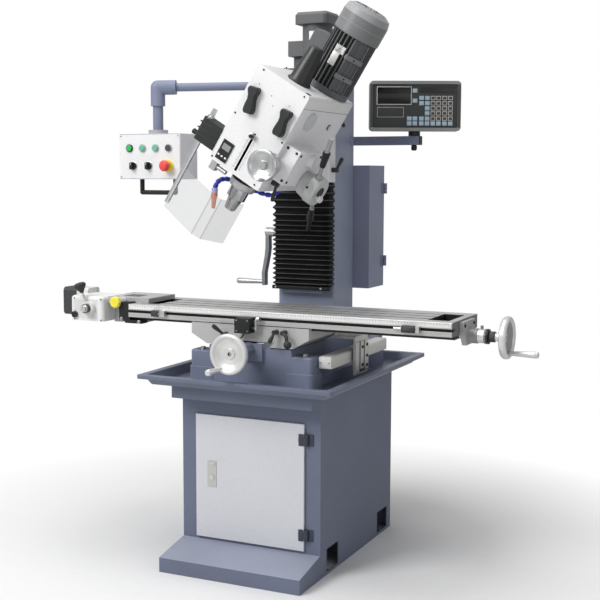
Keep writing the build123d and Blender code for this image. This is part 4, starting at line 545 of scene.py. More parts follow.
black_screw = finish("black_screws", zinc_film, "2a2b2d", 0.42, 0.6, radius=0.0004, relief=0.00002)
scale_low, scale_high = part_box("y_scale")
scale_ends = ((scale_low.y, -1), (scale_high.y, 1))
end_spans = [sorted((end_y, end_y + outward * END_PLATE)) for end_y, outward in scale_ends]
blocks("scale_end_plates", [
    ((scale_low.x + PLATE_IN, near, scale_low.z + PLATE_IN),
     (scale_high.x - PLATE_IN, far, scale_high.z - LIP_IN)) for near, far in end_spans],
    0.0006, scale_look, "frame")
fasten("scale_end_screws", add_screw, END_SCREW, [
    ((screw_x, end_y + outward * END_PLATE, middle("y_scale").z), (0, outward, 0))
    for end_y, outward in scale_ends for screw_x in (scale_low.x + END_IN, scale_high.x - END_IN)],
    zinc, "frame")
reader_low, reader_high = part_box("scale_reader")
reader_foot, reader_head = reader_low.z + READER_FOOT, reader_low.z + READER_HEAD
# The face of the reader between its raised bars is painted dark, a painted shade.
reader_look = finish(
    "reader_aluminium", grind_film, "d6d6d2", 0.45, 0.3, relief=0.00003,
    Stretch=(8.0, 300.0, 300.0), zones=[
        box_of((reader_high.x - 0.0005, READER_BARS[0][0], reader_foot),
               (reader_high.x + 0.001, READER_BARS[-1][1], reader_head), "3c3d3d", 0.5, 0.2)])
dress(reader_look, "scale_reader")
blocks("reader_bars", [
    ((reader_high.x - 0.001, front_y, reader_foot + rise),
     (reader_high.x + BAR_PROUD, back_y, reader_head))
    for front_y, back_y, rise in READER_BARS], 0.001, reader_look, "saddle")
fasten("reader_screws", add_screw, READER_SCREW, [
    ((reader_high.x + BAR_PROUD, screw_y, reader_low.z + screw_z), LONG)
    for screw_y, screw_z in READER_SCREWS], black_screw, "saddle")

# Cross feed: the screw carries a black graduated dial and a dished handwheel, a light alloy casting
# turned and blasted matt, with a tapered handle and a sunk bolt in its hub, the middle of which is
# painted dark as a painted shade.
WHEEL_WHITE, DIAL_BLACK, HUB_HOLE_SHADE, SCREW_STEEL = "dcdcdb", "1f2023", "2c2d2f", "b9babc"
DIAL_FRONT, DIAL_BACK, DIAL_RADIUS = -0.461, -0.4295, 0.026
MARKS_IN, MARK_LONG, DIAL_MARKS = 0.0072, 0.009, 80
MARK_WIDE, MARK_DEEP, MARK_PROUD, SHORT_SHARE = 0.0005, 0.0004, 0.00012, 0.55
HUB_HOLE = 0.0072
FORWARD = (0, -1, 0)
tube_zone = Effect("tube_zone", {
    "Point": (0, 0, 0), "Centre": (0, 0, 0), "Axis": (0, 0, 1), "Inner": 0.0, "Outer": 1.0,
    "Start": -9.0, "End": 9.0}, {"Mask": "Float"})
given = tube_zone.given
along, away = tube_zone.round_axis(given["Point"])
tube_zone.close_mask([tube_zone.math("SUBTRACT", far, near) for far, near in (
    (away, given["Inner"]), (given["Outer"], away),
    (along, given["Start"]), (given["End"], along))])


def tube_of(centre, axis, radii, reach, code, rough, metal=0.0):
    """Another finish between two radii round an axis."""
    sizes = {"Centre": centre, "Axis": axis, "Inner": radii[0], "Outer": radii[1],
             "Start": reach[0], "End": reach[1]}
    return tube_zone, sizes, code, rough, metal


y_axle = Vector((0, 0, middle("y_screw").z))
y_screw_look = finish(
    "cross_screw_steel", lathe_film, SCREW_STEEL, 0.3, 1.0, relief=0.00003,
    Centre=y_axle, Axis=CROSS,
    zones=[tube_of(y_axle, CROSS, (0.010, 0.03), (DIAL_FRONT, DIAL_BACK), DIAL_BLACK, 0.4, 0.3)])
dress(y_screw_look, "y_screw")


def wheel_finish(name, centre, axis, *zones):
    """Blasted alloy of a handwheel."""
    return finish(name, lathe_film, WHEEL_WHITE, 0.36, 0.5, radius=0.002, relief=0.00002,
                  Centre=centre, Axis=axis, Rings=900.0, Streak=0.07, zones=zones)


dress(wheel_finish("cross_wheel_alloy", y_axle, CROSS, tube_of(
    y_axle, CROSS, (0, HUB_HOLE), (-1, 1), HUB_HOLE_SHADE, 0.45, 0.4)), "y_handwheel")


def dial_marks(name, at, radius, reach, count, material, body):
    """Raised graduations round a dial, every fifth one longer."""
    mesh = bmesh.new()
    for mark in range(count):
        turn = at @ Matrix.Rotation(2 * math.pi * mark / count, 4, "Z")
        length = reach if mark % 5 == 0 else reach * SHORT_SHARE
        add_block(mesh, (radius - MARK_DEEP, -MARK_WIDE / 2, 0),
                  (radius + MARK_PROUD, MARK_WIDE / 2, length), 0.0, turn)
    piece(name, mesh, material, body)


white_ink = finish("white_ink", paint_film, "e4e5e3", 0.5, radius=0.0002, relief=0.00001)
dial_marks("cross_dial_marks", stand_at((0, DIAL_BACK - MARKS_IN, y_axle.z), FORWARD),
           DIAL_RADIUS, MARK_LONG, DIAL_MARKS, white_ink, "y_wheel")

# Saddle: an iron casting between base and table, milled bare on its front and sides, with ground
# ways above and below, and three clamp levers with dark grips on its front.
saddle_look = finish("saddle_iron", grind_film, "bfbfbe", 0.55, 0.25, relief=0.00005, radius=0.0015,
                     Stretch=(30.0, 300.0, 300.0), Streak=0.05, Patina=0.05)
dress(saddle_look, "saddle")
film = plastic_film = Film("plastic_film", Grain=1800.0, Mottle=0.05)
grain = film.put("TexVoronoi", {"Vector": film.place, "Scale": film.given["Grain"]}, "Distance")
cloud = film.cloud(40.0, 3.0)
base_tint = film.shade(film.mottle(cloud))
# Edges rubbed paler: partly wear, partly a painted highlight.
rub_and_highlight = film.math("MULTIPLY", film.given["Edge"], 0.4)
film.close(film.mix_colour(rub_and_highlight, base_tint, film.shade(1.4, base_tint)),
           film.spread(cloud, 0.85, 1.15), grain)
clamp_look = finish("clamp_levers", plastic_film, "333433", 0.42, radius=0.001, relief=0.00003)
dress(clamp_look, "table_lock_left", "table_lock_right", "saddle_lock")

# Limit switch of the table: a black moulded housing on the front of the saddle with a bright roller
# arm, and a short lead that is fixed along the saddle.
ARM_FACE, SWITCH_RIGHT = 0.0365, 0.021
SWITCH_SCREW, SWITCH_IN, SWITCH_LEVELS = 0.0026, 0.008, (0.851, 0.887)
LEAD_RADIUS = 0.0024
LEAD_POINTS = ((-0.008, -0.366, 0.8440), (-0.012, -0.366, 0.834), (-0.026, -0.358, 0.822),
               (-0.040, -0.349, 0.8155), (-0.046, -0.3446, 0.8145))
switch_low, switch_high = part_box("limit_switch")
switch_look = finish("switch_black", plastic_film, "262728", 0.45, relief=0.00005, zones=[
    box_of((ARM_FACE, -1, 0), (switch_high.x + 0.001, 1, 2), "c6c7c8", 0.35, 0.8)])
dress(switch_look, "limit_switch")
fasten("switch_screws", add_screw, SWITCH_SCREW, [
    ((screw_x, switch_low.y + 0.0005, screw_z), FORWARD)
    for screw_x in (switch_low.x + SWITCH_IN, SWITCH_RIGHT - SWITCH_IN)
    for screw_z in SWITCH_LEVELS],
    zinc, "saddle")


def add_lead(mesh, points, radius, steps=12, across=8):
    """Round lead along a smooth curve through a few points."""
    whole = [Vector(point) for point in (points[0], *points, points[-1])]
    path = []
    for first, second, third, fourth in zip(whole, whole[1:], whole[2:], whole[3:]):
        for step in range(steps):
            t = step / steps
            bend = 2 * first - 5 * second + 4 * third - fourth
            sway = 3 * second - first - 3 * third + fourth
            path.append(0.5 * (2 * second + (third - first) * t + bend * t * t + sway * t ** 3))
    path.append(whole[-1])
    rings = []
    for at, spot in enumerate(path):
        run = path[min(at + 1, len(path) - 1)] - path[max(at - 1, 0)]
        here = stand_at(spot, run)
        rings.append([mesh.verts.new(here @ Vector((x, y, 0))) for x, y in polygon(across, radius)])
    for lower, upper in zip(rings, rings[1:]):
        for side in range(across):
            mesh.faces.new((lower[side], lower[side - 1], upper[side - 1], upper[side]))
    mesh.faces.new(rings[0])
    mesh.faces.new(rings[-1])


black_plastic = finish("black_plastic", plastic_film, "1c1d1f", 0.42, radius=0.0008, relief=0.00005)
switch_lead = bmesh.new()
add_lead(switch_lead, LEAD_POINTS, LEAD_RADIUS)
piece("switch_lead", switch_lead, black_plastic, "saddle")

# Table: grey iron, ground bright all over, with three T-slots and a drain pocket at each end. A
# white rule with dark graduations is fixed along the top of its front edge, above the groove of the
# stops.
TABLE_STEEL, END_SHADE_GREY, GROOVE_SHADE, JAW_SHADE = "c9c9c8", "808183", "2d2e2f", "38393a"
SLOT_SHADE, POCKET_SHADE = "3b3c3d", "1f2021"
SLOT_LEFT, SLOT_RIGHT, SLOT_HALF = -0.393, 0.632, 0.0126
SLOT_ROWS = (-0.271, -0.208, -0.145)
SLOT_FLOOR, FLOOR_IN, LIP, UNDER = 0.8925, 0.001, 0.9166, 0.8
POCKETS, POCKET_SIDES = ((-0.4662, -0.3928), (0.6318, 0.7052)), (-0.3032, -0.1248)
GROOVE, GROOVE_DEEP, JAW_TOP = (0.8855, 0.8965), 0.03, 0.8695
RULE, RULE_PROUD, RULE_END = (0.8995, 0.9145), 0.0006, 0.004
MARK_STEP, MARK_START, INK_PROUD, INK_SUNK, INK_TOP = 0.002, 0.01, 0.00015, 0.0002, 0.0006
LONG_MARK, SHORT_MARK = (0.0085, 0.0004), (0.0045, 0.0002)
STRAINER, STRAINER_Y = 0.014, -0.240
table_low, table_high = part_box("table")
slot_zones = [
    box_of((SLOT_LEFT, row - SLOT_HALF, SLOT_FLOOR - FLOOR_IN), (SLOT_RIGHT, row + SLOT_HALF, LIP),
           SLOT_SHADE, 0.5, 0.4) for row in SLOT_ROWS]
pocket_zones = [
    box_of((left, POCKET_SIDES[0], SLOT_FLOOR - FLOOR_IN), (right, POCKET_SIDES[1], LIP),
           POCKET_SHADE, 0.6, 0.2) for left, right in POCKETS]
# The right end face of the table is painted darker grey, a painted shade.
table_look = finish(
    "ground_table", grind_film, TABLE_STEEL, 0.4, 0.55, relief=0.00005, radius=0.0012,
    Stretch=(7.0, 420.0, 420.0), Streak=0.22, Patina=0.08, zones=[
        box_of((table_high.x - 0.0005, -1, UNDER), (table_high.x + 0.001, 1, LIP),
               END_SHADE_GREY, 0.5, 0.4),
        box_of((-1, table_low.y + 0.0003, GROOVE[0]), (1, table_low.y + GROOVE_DEEP, GROOVE[1]),
               GROOVE_SHADE, 0.5, 0.4),
        box_of((-1, -1, UNDER), (1, 1, JAW_TOP), JAW_SHADE, 0.5, 0.4), *slot_zones, *pocket_zones])
dress(table_look, "table")
rule_face = table_low.y - RULE_PROUD
rule_white = finish("rule_enamel", paint_film, "ececea", 0.4, radius=0.0004, relief=0.00002,
                    Mottle=0.02)
blocks("table_rule", [((table_low.x + RULE_END, rule_face, RULE[0]),
                       (table_high.x - RULE_END, table_low.y + 0.001, RULE[1]))],
       0.0002, rule_white, "table")
rule_marks = []
for mark in range(int((table_high.x - table_low.x - 2 * MARK_START) / MARK_STEP) + 1):
    mark_x = table_low.x + MARK_START + mark * MARK_STEP
    length, half = LONG_MARK if mark % 5 == 0 else SHORT_MARK
    rule_marks.append(((mark_x - half, rule_face - INK_PROUD, RULE[1] - length),
                       (mark_x + half, rule_face + INK_SUNK, RULE[1] - INK_TOP)))
rule_grey = finish("rule_ink", paint_film, "6a6b6c", 0.5, radius=0.0002, relief=0.00001)
blocks("rule_marks", rule_marks, 0.0, rule_grey, "table")
strainers = bmesh.new()
for left, right in POCKETS:
    add_turned(strainers, [
        (0, 0.001), (STRAINER * 0.4, 0.001), (STRAINER * 0.5, 0.003), (STRAINER, 0.003),
        (STRAINER, 0), (0, 0)], stand_at(((left + right) / 2, STRAINER_Y, SLOT_FLOOR + 0.0004)))
piece("pocket_strainers", strainers, zinc, "table")

# Table stops: milled steel bodies clamped in the front groove of the table, each with a dark
# knurled nut and a bright end. The right one has a bright plunger on its left.
STOP_SILVER, NUT_DARK = "cfcfce", "454648"
NUT_RADIUS, NUT_IN, NUT_OUT, NUT_LOW = 0.0100, 0.001, 0.0112, 0.001
NUT_SHARES = {"table_stop_left": (0.0, 0.6), "table_stop_right": (0.32, 0.86)}


def add_knurl(mesh, at, radius, start, end, teeth=40, rise=0.0006):
    """Fine straight knurl round a barrel."""
    turns = [(radius + rise * (step % 2), math.pi * step / teeth) for step in range(2 * teeth)]
    outline = [(far * math.cos(turn), far * math.sin(turn)) for far, turn in turns]
    add_prism(mesh, outline, start, end, at)


knurl_look = finish("knurled_nut", lathe_film, NUT_DARK, 0.4, 0.6, relief=0.00003)
nut_axle = stand_at((0, table_low.y - NUT_OUT, sum(GROOVE) / 2 - NUT_LOW), LONG)
for node, shares in NUT_SHARES.items():
    stop_low, stop_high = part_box(node)
    nut = [stop_low.x + share * (stop_high.x - stop_low.x) for share in shares]
    dress(finish(node + "_steel", lathe_film, STOP_SILVER, 0.36, 0.8, relief=0.00004,
                 Centre=middle(node), Axis=LONG, Rings=1600.0,
                 zones=[box_of((nut[0], -1, 0), (nut[1], 1, 2), NUT_DARK, 0.45, 0.5)]), node)
    nut_mesh = bmesh.new()
    add_knurl(nut_mesh, nut_axle, NUT_RADIUS, nut[0] + NUT_IN, nut[1] - NUT_IN)
    piece(node + "_nut", nut_mesh, knurl_look, node)

# Long feed, right end: a cast end bracket with the bearing barrel, a bright clamping ring with a
# knob, a black dial, a knurled clutch and a dished handwheel like the one of the cross feed.
BARREL_FACE, BRACKET_SCREW, BRACKET_SCREW_Z = 0.7452, 0.0055, 0.898
BRACKET_SCREW_YS = (-0.258, -0.158)
RING_SPAN, DIAL_SPAN, CLUTCH_SPAN = (0.005, 0.017), (0.0222, 0.0375), (0.0375, 0.0575)
DISH_SHADE_SPAN, HOLE_SPAN = (0.0865, 0.1005), (0.08, 2)
KNURL_SPAN, KNURL_RADIUS = (0.040, 0.055), 0.0172
LONG_DIAL_RADIUS, LONG_DIAL_AT, LONG_DIAL_MARK = 0.025, 0.0235, 0.008
bracket_look = finish("bracket_casting", cast_film, "a9a9a8", 0.45, relief=0.0002, radius=0.002,
                      zones=[box_of((BARREL_FACE, -1, 0), (1, 1, 2), "8b8c8d", 0.45, 0.3)])
dress(bracket_look, "x_end_bracket")
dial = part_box("x_end_bracket")[1].x + 0.0005
x_axle = Vector((0, (table_low.y + table_high.y) / 2, middle("x_screw").z))
# The dish of this wheel is painted a darker grey, and the middle of its hub dark, both painted
# shade.
x_wheel_zones = [
    tube_of(x_axle, LONG, radii, (dial + start, dial + end if end < 1 else end), code, rough, metal)
    for radii, (start, end), code, rough, metal in (
        ((0.0232, 0.06), RING_SPAN, "939495", 0.4, 0.6),
        ((0, 0.0255), DIAL_SPAN, DIAL_BLACK, 0.4, 0.3),
        ((0, 0.0255), CLUTCH_SPAN, "2a2b2d", 0.4, 0.4),
        ((0.017, 0.0535), DISH_SHADE_SPAN, "9fa0a0", 0.45, 0.5),
        ((0, HUB_HOLE), HOLE_SPAN, HUB_HOLE_SHADE, 0.45, 0.4))]
dress(wheel_finish("long_wheel_alloy", x_axle, LONG, *x_wheel_zones), "x_handwheel")
dress(finish("long_screw_steel", lathe_film, SCREW_STEEL, 0.3, 1.0, relief=0.00003,
             Centre=x_axle, Axis=LONG), "x_screw")
dial_marks("long_dial_marks", stand_at((dial + LONG_DIAL_AT, x_axle.y, x_axle.z), LONG),
           LONG_DIAL_RADIUS, LONG_DIAL_MARK, DIAL_MARKS, white_ink, "x_wheel")
clutch_knurl = bmesh.new()
add_knurl(clutch_knurl, stand_at(x_axle, LONG), KNURL_RADIUS, *[dial + end for end in KNURL_SPAN])
piece("clutch_knurl", clutch_knurl, knurl_look, "x_wheel")
fasten("bracket_screws", add_screw, BRACKET_SCREW, [
    ((BARREL_FACE - 0.0003, screw_y, BRACKET_SCREW_Z), LONG) for screw_y in BRACKET_SCREW_YS],
    black_screw, "table")

# Power feed on the left end: a grey gearbox bolted to the table under a flat cover, a white moulded
# control housing in front of it, a pale motor with a dark end cap, and a black switch plate that
# carries the yellow rapid button on a pale collar.
GEARBOX_GREY, HOUSING_WHITE, SWITCH_BLACK = "b1b2b2", "e6e6e5", "1f2022"
HOUSING_LEFT, HOUSING_RIGHT, HOUSING_FRONT, HOUSING_BACK = -0.7615, -0.6135, -0.3305, -0.1795
FLAT_COVER = ((-0.578, -0.257, 0.9335), (-0.505, -0.186, 0.935))
FEED_MOTOR = ((-0.7935, -0.2445, 0.8), (-0.7410, -0.1675, 1))
FRONT_FIELD = ((-0.7450, -0.3304, 0.850), (-0.6400, -0.3297, 0.921))
MOTOR_CAP_FACE, CAP_SIDES = -0.7932, (-0.26, -0.1)
SWITCH_PLATES = (((-0.5372, -0.3405, 0.8), (-0.4908, -0.3002, 0.925)),
                 ((-0.5372, -0.3004, 0.8), (-0.4908, -0.2528, 0.9098)),
                 ((-0.5125, -0.3405, 0.8), (-0.4405, -0.2995, 0.8582)))
RAPID_AT, RAPID_COLLAR, RAPID_REACH = (-0.545, 0, 0.921), 0.0153, (-0.3405, -0.3003)
KNOB_AT, KNOB_RADIUS, KNOB_REACH = (-0.738, 0, 0.865), 0.0123, (-0.3395, -0.3303)
FEED_SCREW, FEED_SCREW_LEVELS = 0.0026, (0.8475, 0.9255)
PLATE_BOLT, PLATE_BOLTS = 0.0062, ((-0.527, -0.3400, 0.8600), (-0.452, -0.3400, 0.8525))
LEVER_BOSS, GRIP_LOW, DIAL_FACE = 0.0253, 0.9475, -0.3642
feed_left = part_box("power_feed")[0].x
feed_look = finish("power_feed_finish", paint_film, GEARBOX_GREY, 0.45, radius=0.002, Peel=600.0,
                   zones=[
    box_of(*FLAT_COVER, "5d5e5f", 0.55),
    box_of((HOUSING_LEFT, -0.35, 0.8), (HOUSING_RIGHT, HOUSING_BACK, 1), HOUSING_WHITE, 0.42),
    box_of(*FEED_MOTOR, "d8d8d6", 0.45), box_of(*FRONT_FIELD, "d9d9d8", 0.4),
    box_of((feed_left - 0.001, CAP_SIDES[0], 0.8), (MOTOR_CAP_FACE, CAP_SIDES[1], 1),
           "404143", 0.5),
    *[box_of(low, high, SWITCH_BLACK, 0.5) for low, high in SWITCH_PLATES],
    tube_of(RAPID_AT, CROSS, (0, RAPID_COLLAR), RAPID_REACH, "d6d6d2", 0.45),
    tube_of(KNOB_AT, CROSS, (0, KNOB_RADIUS), KNOB_REACH, "262728", 0.4)])
dress(feed_look, "power_feed")
fasten("feed_housing_screws", add_screw, FEED_SCREW, [
    ((screw_x, HOUSING_FRONT + 0.0006, screw_z), FORWARD)
    for screw_x in (HOUSING_LEFT + 0.020, HOUSING_RIGHT - 0.010) for screw_z in FEED_SCREW_LEVELS],
    black_screw, "table")
fasten("switch_plate_bolts", add_bolt, PLATE_BOLT, [(point, FORWARD) for point in PLATE_BOLTS],
       zinc, "table")
lever_at = middle("feed_dial")
lever_look = finish("feed_lever_finish", plastic_film, "c3c4c5", 0.35, 0.7, relief=0.00003, zones=[
    tube_of(lever_at, CROSS, (0, LEVER_BOSS), (-1, 1), "e6e6e4", 0.4),
    box_of((-1, -1, GRIP_LOW), (1, 1, 2), "37383a", 0.45)])
dress(lever_look, "feed_lever")
feed_dial_look = finish(
    "feed_dial_alloy", lathe_film, "d6d6d4", 0.35, 0.6, relief=0.00003, Centre=lever_at, Axis=CROSS,
    zones=[box_of((-1, DIAL_FACE, 0), (1, 1, 2), "57585b", 0.4, 0.4)])
dress(feed_dial_look, "feed_dial")
rapid_look = finish("rapid_yellow", plastic_film, "efe34a", 0.4, radius=0.0012, relief=0.00003)
dress(rapid_look, "rapid_button")

# Column: a box casting in iron, filled smooth and painted, with ground dovetail ways on its front.
# Its coat is painted paler than the stand's, as painted light. The arm of the readout is a square
# tube fixed to its right side, painted darker than the column as painted shade, closed by a black
# cap, with a black clamping knob under the pivot.
COLUMN_LIT_BLUE, ARM_SHADED_BLUE = "9097ac", "747b92"
COLUMN_WAYS = ((-0.1, 0.0, 0.968), (0.1, 0.1225, 1.8))
ARM_ROOT, ARM_CAP = 0.1245, 0.003
ARM_LOW, ARM_HIGH = (0.2, 1.4), (0.5, 0.4, 1.6)
ARM_KNOB = ((0.34, 0.2, 1.4), (0.387, 0.4, 1.4972))
LIFT_SCREW_AT = (0, 0.15, 0)
column_look = finish("column_casting", cast_film, COLUMN_LIT_BLUE, 0.45, relief=0.0002, radius=0.002,
                     Sand=180.0, zones=[
    box_of(*COLUMN_WAYS, STEEL, 0.3, 0.9), box_of((ARM_ROOT, *ARM_LOW), ARM_HIGH, ARM_SHADED_BLUE, 0.45),
    box_of((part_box("column")[1].x - ARM_CAP, *ARM_LOW), ARM_HIGH, "1e1f22", 0.45),
    box_of(*ARM_KNOB, "1b1c1e", 0.4)])
dress(column_look, "column")
dress(finish("lift_screw_steel", lathe_film, "a9abad", 0.3, 1.0, Centre=LIFT_SCREW_AT, Axis=UP),
      "z_screw")

# Bellows: black coated cloth, laid in folds, that covers the ways of the column. Its lower folds
# lie close, its upper ones are drawn open by the carriage, and a strip with screws holds its foot.
CLOSE_FOLDS, OPEN_FOLDS, OPEN_PITCH, FOLD_DEPTH = 14, 5, 0.027, 0.009
LEVELS, CORNER, CORNER_STEPS, FRONT_STEPS = 10, 0.014, 6, 8
CLOTH_THICK, CLOTH_Y = 0.0012, 0.1
STRIP_DROP, STRIP_IN, STRIP_BACK, STRIP_GAP = 0.0135, 0.005, 0.0920, 0.0002
STRIP_SCREW, STRIP_SCREW_XS = 0.0042, (-0.104, 0.084)
bellows_low, bellows_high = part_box("bellows")
close_pitch = (bellows_high.z - bellows_low.z - OPEN_FOLDS * OPEN_PITCH) / CLOSE_FOLDS


def bellows_outline(inset):
    """Left wall, rounded corner, front, rounded corner and right wall of one fold line."""
    side = bellows_high.x - inset
    front = bellows_low.y + inset
    half_back = (front + bellows_high.y) / 2
    points = [(-side, bellows_high.y), (-side, half_back)]
    for way, start in ((-1, math.pi), (1, 1.5 * math.pi)):
        for step in range(CORNER_STEPS + 1):
            angle = start + math.pi / 2 * step / CORNER_STEPS
            points.append((way * (side - CORNER) + CORNER * math.cos(angle),
                           front + CORNER + CORNER * math.sin(angle)))
        if way < 0:
            across = 2 * side - 2 * CORNER
            points.extend((-side + CORNER + across * step / FRONT_STEPS, front)
                          for step in range(1, FRONT_STEPS))
    return points + [(side, half_back), (side, bellows_high.y)]


fold_starts = [bellows_low.z + fold * close_pitch for fold in range(CLOSE_FOLDS)]
open_start = fold_starts[-1] + close_pitch
fold_starts += [open_start + fold * OPEN_PITCH for fold in range(OPEN_FOLDS)]
rows = []
for fold, start in enumerate(fold_starts):
    pitch = close_pitch if fold < CLOSE_FOLDS else OPEN_PITCH
    for share in (level / LEVELS for level in range(LEVELS)):
        swing = 0.5 + 0.5 * math.cos(2 * math.pi * share)
        rows.append((start + pitch * share, FOLD_DEPTH * swing ** 0.8))
rows.append((bellows_high.z, FOLD_DEPTH))
bellows_mesh = bmesh.new()
grid = [[bellows_mesh.verts.new((x, y, height)) for x, y in bellows_outline(inset)]
        for height, inset in rows]
for row, (lower, upper) in enumerate(zip(grid, grid[1:])):
    for step in range(len(lower) - 1):
        cloth = bellows_mesh.faces.new((lower[step], lower[step + 1], upper[step + 1], upper[step]))
        cloth.material_index = 1 if row % LEVELS == LEVELS // 2 else 0
film = cloth_film = Film("cloth_film", Weave=900.0)
threads = {"Vector": film.place, "Scale": film.given["Weave"], "Distortion": 0.4}
warp, weft = [film.put("TexWave", threads, "Fac", bands_direction=way) for way in "ZX"]
weave = film.math("MULTIPLY", warp, weft)
dust = film.cloud(14.0, 5.0)
tone = film.math("MULTIPLY", film.spread(dust, 0.8, 1.3, *MID), film.spread(weave, 0.9, 1.1))
dusty_cloth = film.shade(tone)
# Edges of the cloth are painted much paler, a painted highlight.
film.close(film.mix_colour(film.given["Edge"], dusty_cloth, film.shade(2.2, dusty_cloth)),
           film.spread(dust, 0.9, 1.1), weave)
bellows_data = bpy.data.meshes.new("bellows_folds")
bellows_mesh.to_mesh(bellows_data)
bellows_mesh.free()
bellows_data.shade_smooth()
bellows_data.materials.append(finish(
    "bellows_cloth", cloth_film, "101011", 0.6, radius=0.003, relief=0.00006, gloss=0.15))
# The crest row of each fold takes a paler cloth, a painted highlight.
bellows_data.materials.append(finish(
    "bellows_crest_highlight", cloth_film, "58595a", 0.5, radius=0.003, relief=0.00006))
bellows = bpy.data.objects.new("bellows_folds", bellows_data)
scene.collection.objects.link(bellows)
thickness = bellows.modifiers.new("cloth", "SOLIDIFY")
thickness.thickness = CLOTH_THICK
thickness.offset = -1
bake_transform(bellows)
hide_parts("bellows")
strip_front = bellows_low.y + STRIP_IN
blocks("bellows_foot_strip", [
    ((bellows_low.x + 0.001, strip_front, bellows_low.z - STRIP_DROP),
     (bellows_high.x - 0.001, STRIP_BACK, bellows_low.z - STRIP_GAP))],
    0.001, black_plastic, "frame")
fasten("bellows_foot_screws", add_screw, STRIP_SCREW, [
    ((screw_x, strip_front, bellows_low.z - STRIP_DROP / 2), FORWARD)
    for screw_x in STRIP_SCREW_XS],
    zinc, "frame")

# Crank of the lift: a bent steel arm on the shaft at the left of the column, painted grey, with a
# bright hub and a bright tapered handle.
CRANK_AXLE = (0, 0.15, 0.970)
CRANK_ARM = ((-0.1965, 0, 0), (-0.163, 1, 1.150))
crank_look = finish("crank_finish", lathe_film, "b3b4b4", 0.36, 0.7, relief=0.00003,
                    Centre=CRANK_AXLE, Axis=LONG, zones=[box_of(*CRANK_ARM, "939494", 0.42, 0.3)])
dress(crank_look, "z_crank")

# Carriage: the casting that rides on the column and carries the tilting head, painted like the
# head, with two clamp levers on its right side.
HEAD_GREY = "e8e8ea"
carriage_look = finish("carriage_casting", cast_film, HEAD_GREY, 0.45, relief=0.0002, radius=0.002,
                       Mottle=0.03)
dress(carriage_look, "carriage")
dress(clamp_look, "z_lock_lower", "z_lock_upper")

# Lift motor: a small flanged motor on top of the column, sprayed dark grey, with a square fan cap,
# a terminal box on its left and a bare rating plate on its front.
MOTOR_GREY = "606163"
LIFT_AT, LIFT_RADIUS = (0.001, 0.220), 0.057
PLATE_HALF, PLATE_TURN, PLATE_STEPS = 0.36, 0.2, 10
PLATE_LEVELS, PLATE_DEPTHS = (1.885, 1.921), (0.0002, 0.0012)
FLANGE_TOP, FLANGE_BOLT, FLANGE_XS, FLANGE_YS = 1.780, 0.008, (-0.084, 0.084), (0.116, 0.292)
LID_SCREW, LID_YS, LID_ZS = 0.003, (0.190, 0.250), (1.840, 1.881)
motor_look = finish("motor_paint", paint_film, MOTOR_GREY, 0.5, radius=0.0012,
                    Peel=500.0, Mottle=0.05)
dress(motor_look, "z_lift_motor")
plate_white = finish("bare_plate", grind_film, "e4e4e2", 0.45, 0.2, relief=0.00002,
                     Stretch=(200.0, 200.0, 20.0), Streak=0.05)
lift_plate = bmesh.new()
turns = [PLATE_HALF * (2 * step / PLATE_STEPS - 1) + PLATE_TURN for step in range(PLATE_STEPS + 1)]
for far in (LIFT_RADIUS + depth for depth in PLATE_DEPTHS):
    lower, upper = [[lift_plate.verts.new(
        (LIFT_AT[0] + far * math.sin(turn), LIFT_AT[1] - far * math.cos(turn), level))
        for turn in turns] for level in PLATE_LEVELS]
    for step in range(PLATE_STEPS):
        lift_plate.faces.new((lower[step], lower[step + 1], upper[step + 1], upper[step]))
bmesh.ops.bridge_loops(lift_plate, edges=[edge for edge in lift_plate.edges if edge.is_boundary])
piece("lift_motor_plate", lift_plate, plate_white, "frame")
fasten("lift_motor_bolts", add_bolt, FLANGE_BOLT, [
    ((bolt_x, bolt_y, FLANGE_TOP), UP) for bolt_x in FLANGE_XS for bolt_y in FLANGE_YS],
    zinc, "frame")
fasten("lift_lid_screws", add_screw, LID_SCREW, [
    ((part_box("z_lift_motor")[0].x, screw_y, screw_z), (-1, 0, 0))
    for screw_y in LID_YS for screw_z in LID_ZS],
    black_screw, "frame")

# Electrical cabinet: a folded steel box on the back of the column with a hinged door, coated like
# the stand but painted paler as painted light, with coated hinges on its right edge.
CABINET_LIT_BLUE, CABINET_HINGE = "888ea4", "7d8399"
CABINET_SIDE, HINGE_FRONT, HINGE_FAR = 0.1803, 0.3, (0.3, 0.6)
CABINET_HINGES = ((1.0235, 1.0655), (1.3105, 1.3525))
cabinet_look = finish("cabinet_paint", paint_film, CABINET_LIT_BLUE, 0.48, Peel=420.0, zones=[
    box_of((CABINET_SIDE, HINGE_FRONT, low), (*HINGE_FAR, high), CABINET_HINGE, 0.5)
    for low, high in CABINET_HINGES])
dress(cabinet_look, "electrical_cabinet", "cabinet_door")

# Control arm and box: a painted tube with turned joints carries a folded steel box with a white
# front, a grey collar on top and a black round hand rail below. On the front are four push buttons
# in bright rings, two selectors and an emergency stop on a yellow collar.
BOX_FRONT, BOX_TOP, BOX_FOOT = -0.0365, 1.540, 1.366
PUSH_BUTTONS = ("start_button", "forward_button", "reverse_button", "stop_button")
SELECTORS = ("selector_left", "selector_right")
RING_RADII, STOP_COLLAR = (0.0120, 0.0153), 0.0225
BOX_SCREW, BOX_SCREW_IN = 0.003, 0.009
EDGE_WIDE, EDGE_IN, EDGE_SIDE, EDGE_PROUD = 0.0016, 0.0008, 0.004, 0.0006
LINE_HALF, LINE_FOOT, LINE_HEAD = 0.0007, 0.003, 0.002
SELECTOR_RING = [(0.0145, 0), (0.0185, 0), (0.0185, 0.0008), (0.0175, 0.0014), (0.0145, 0.0014),
                 (0.0145, 0)]
dress(finish("arm_paint", paint_film, "7b8298", 0.4, Peel=420.0), "control_arm")


def on_box(node, radii, code, rough, metal=0.0):
    """Finish of a ring on the front of the box, round one of its switches."""
    at = middle(node)
    return tube_of(at, CROSS, radii, (-1, BOX_FRONT - at.y - 0.0003), code, rough, metal)


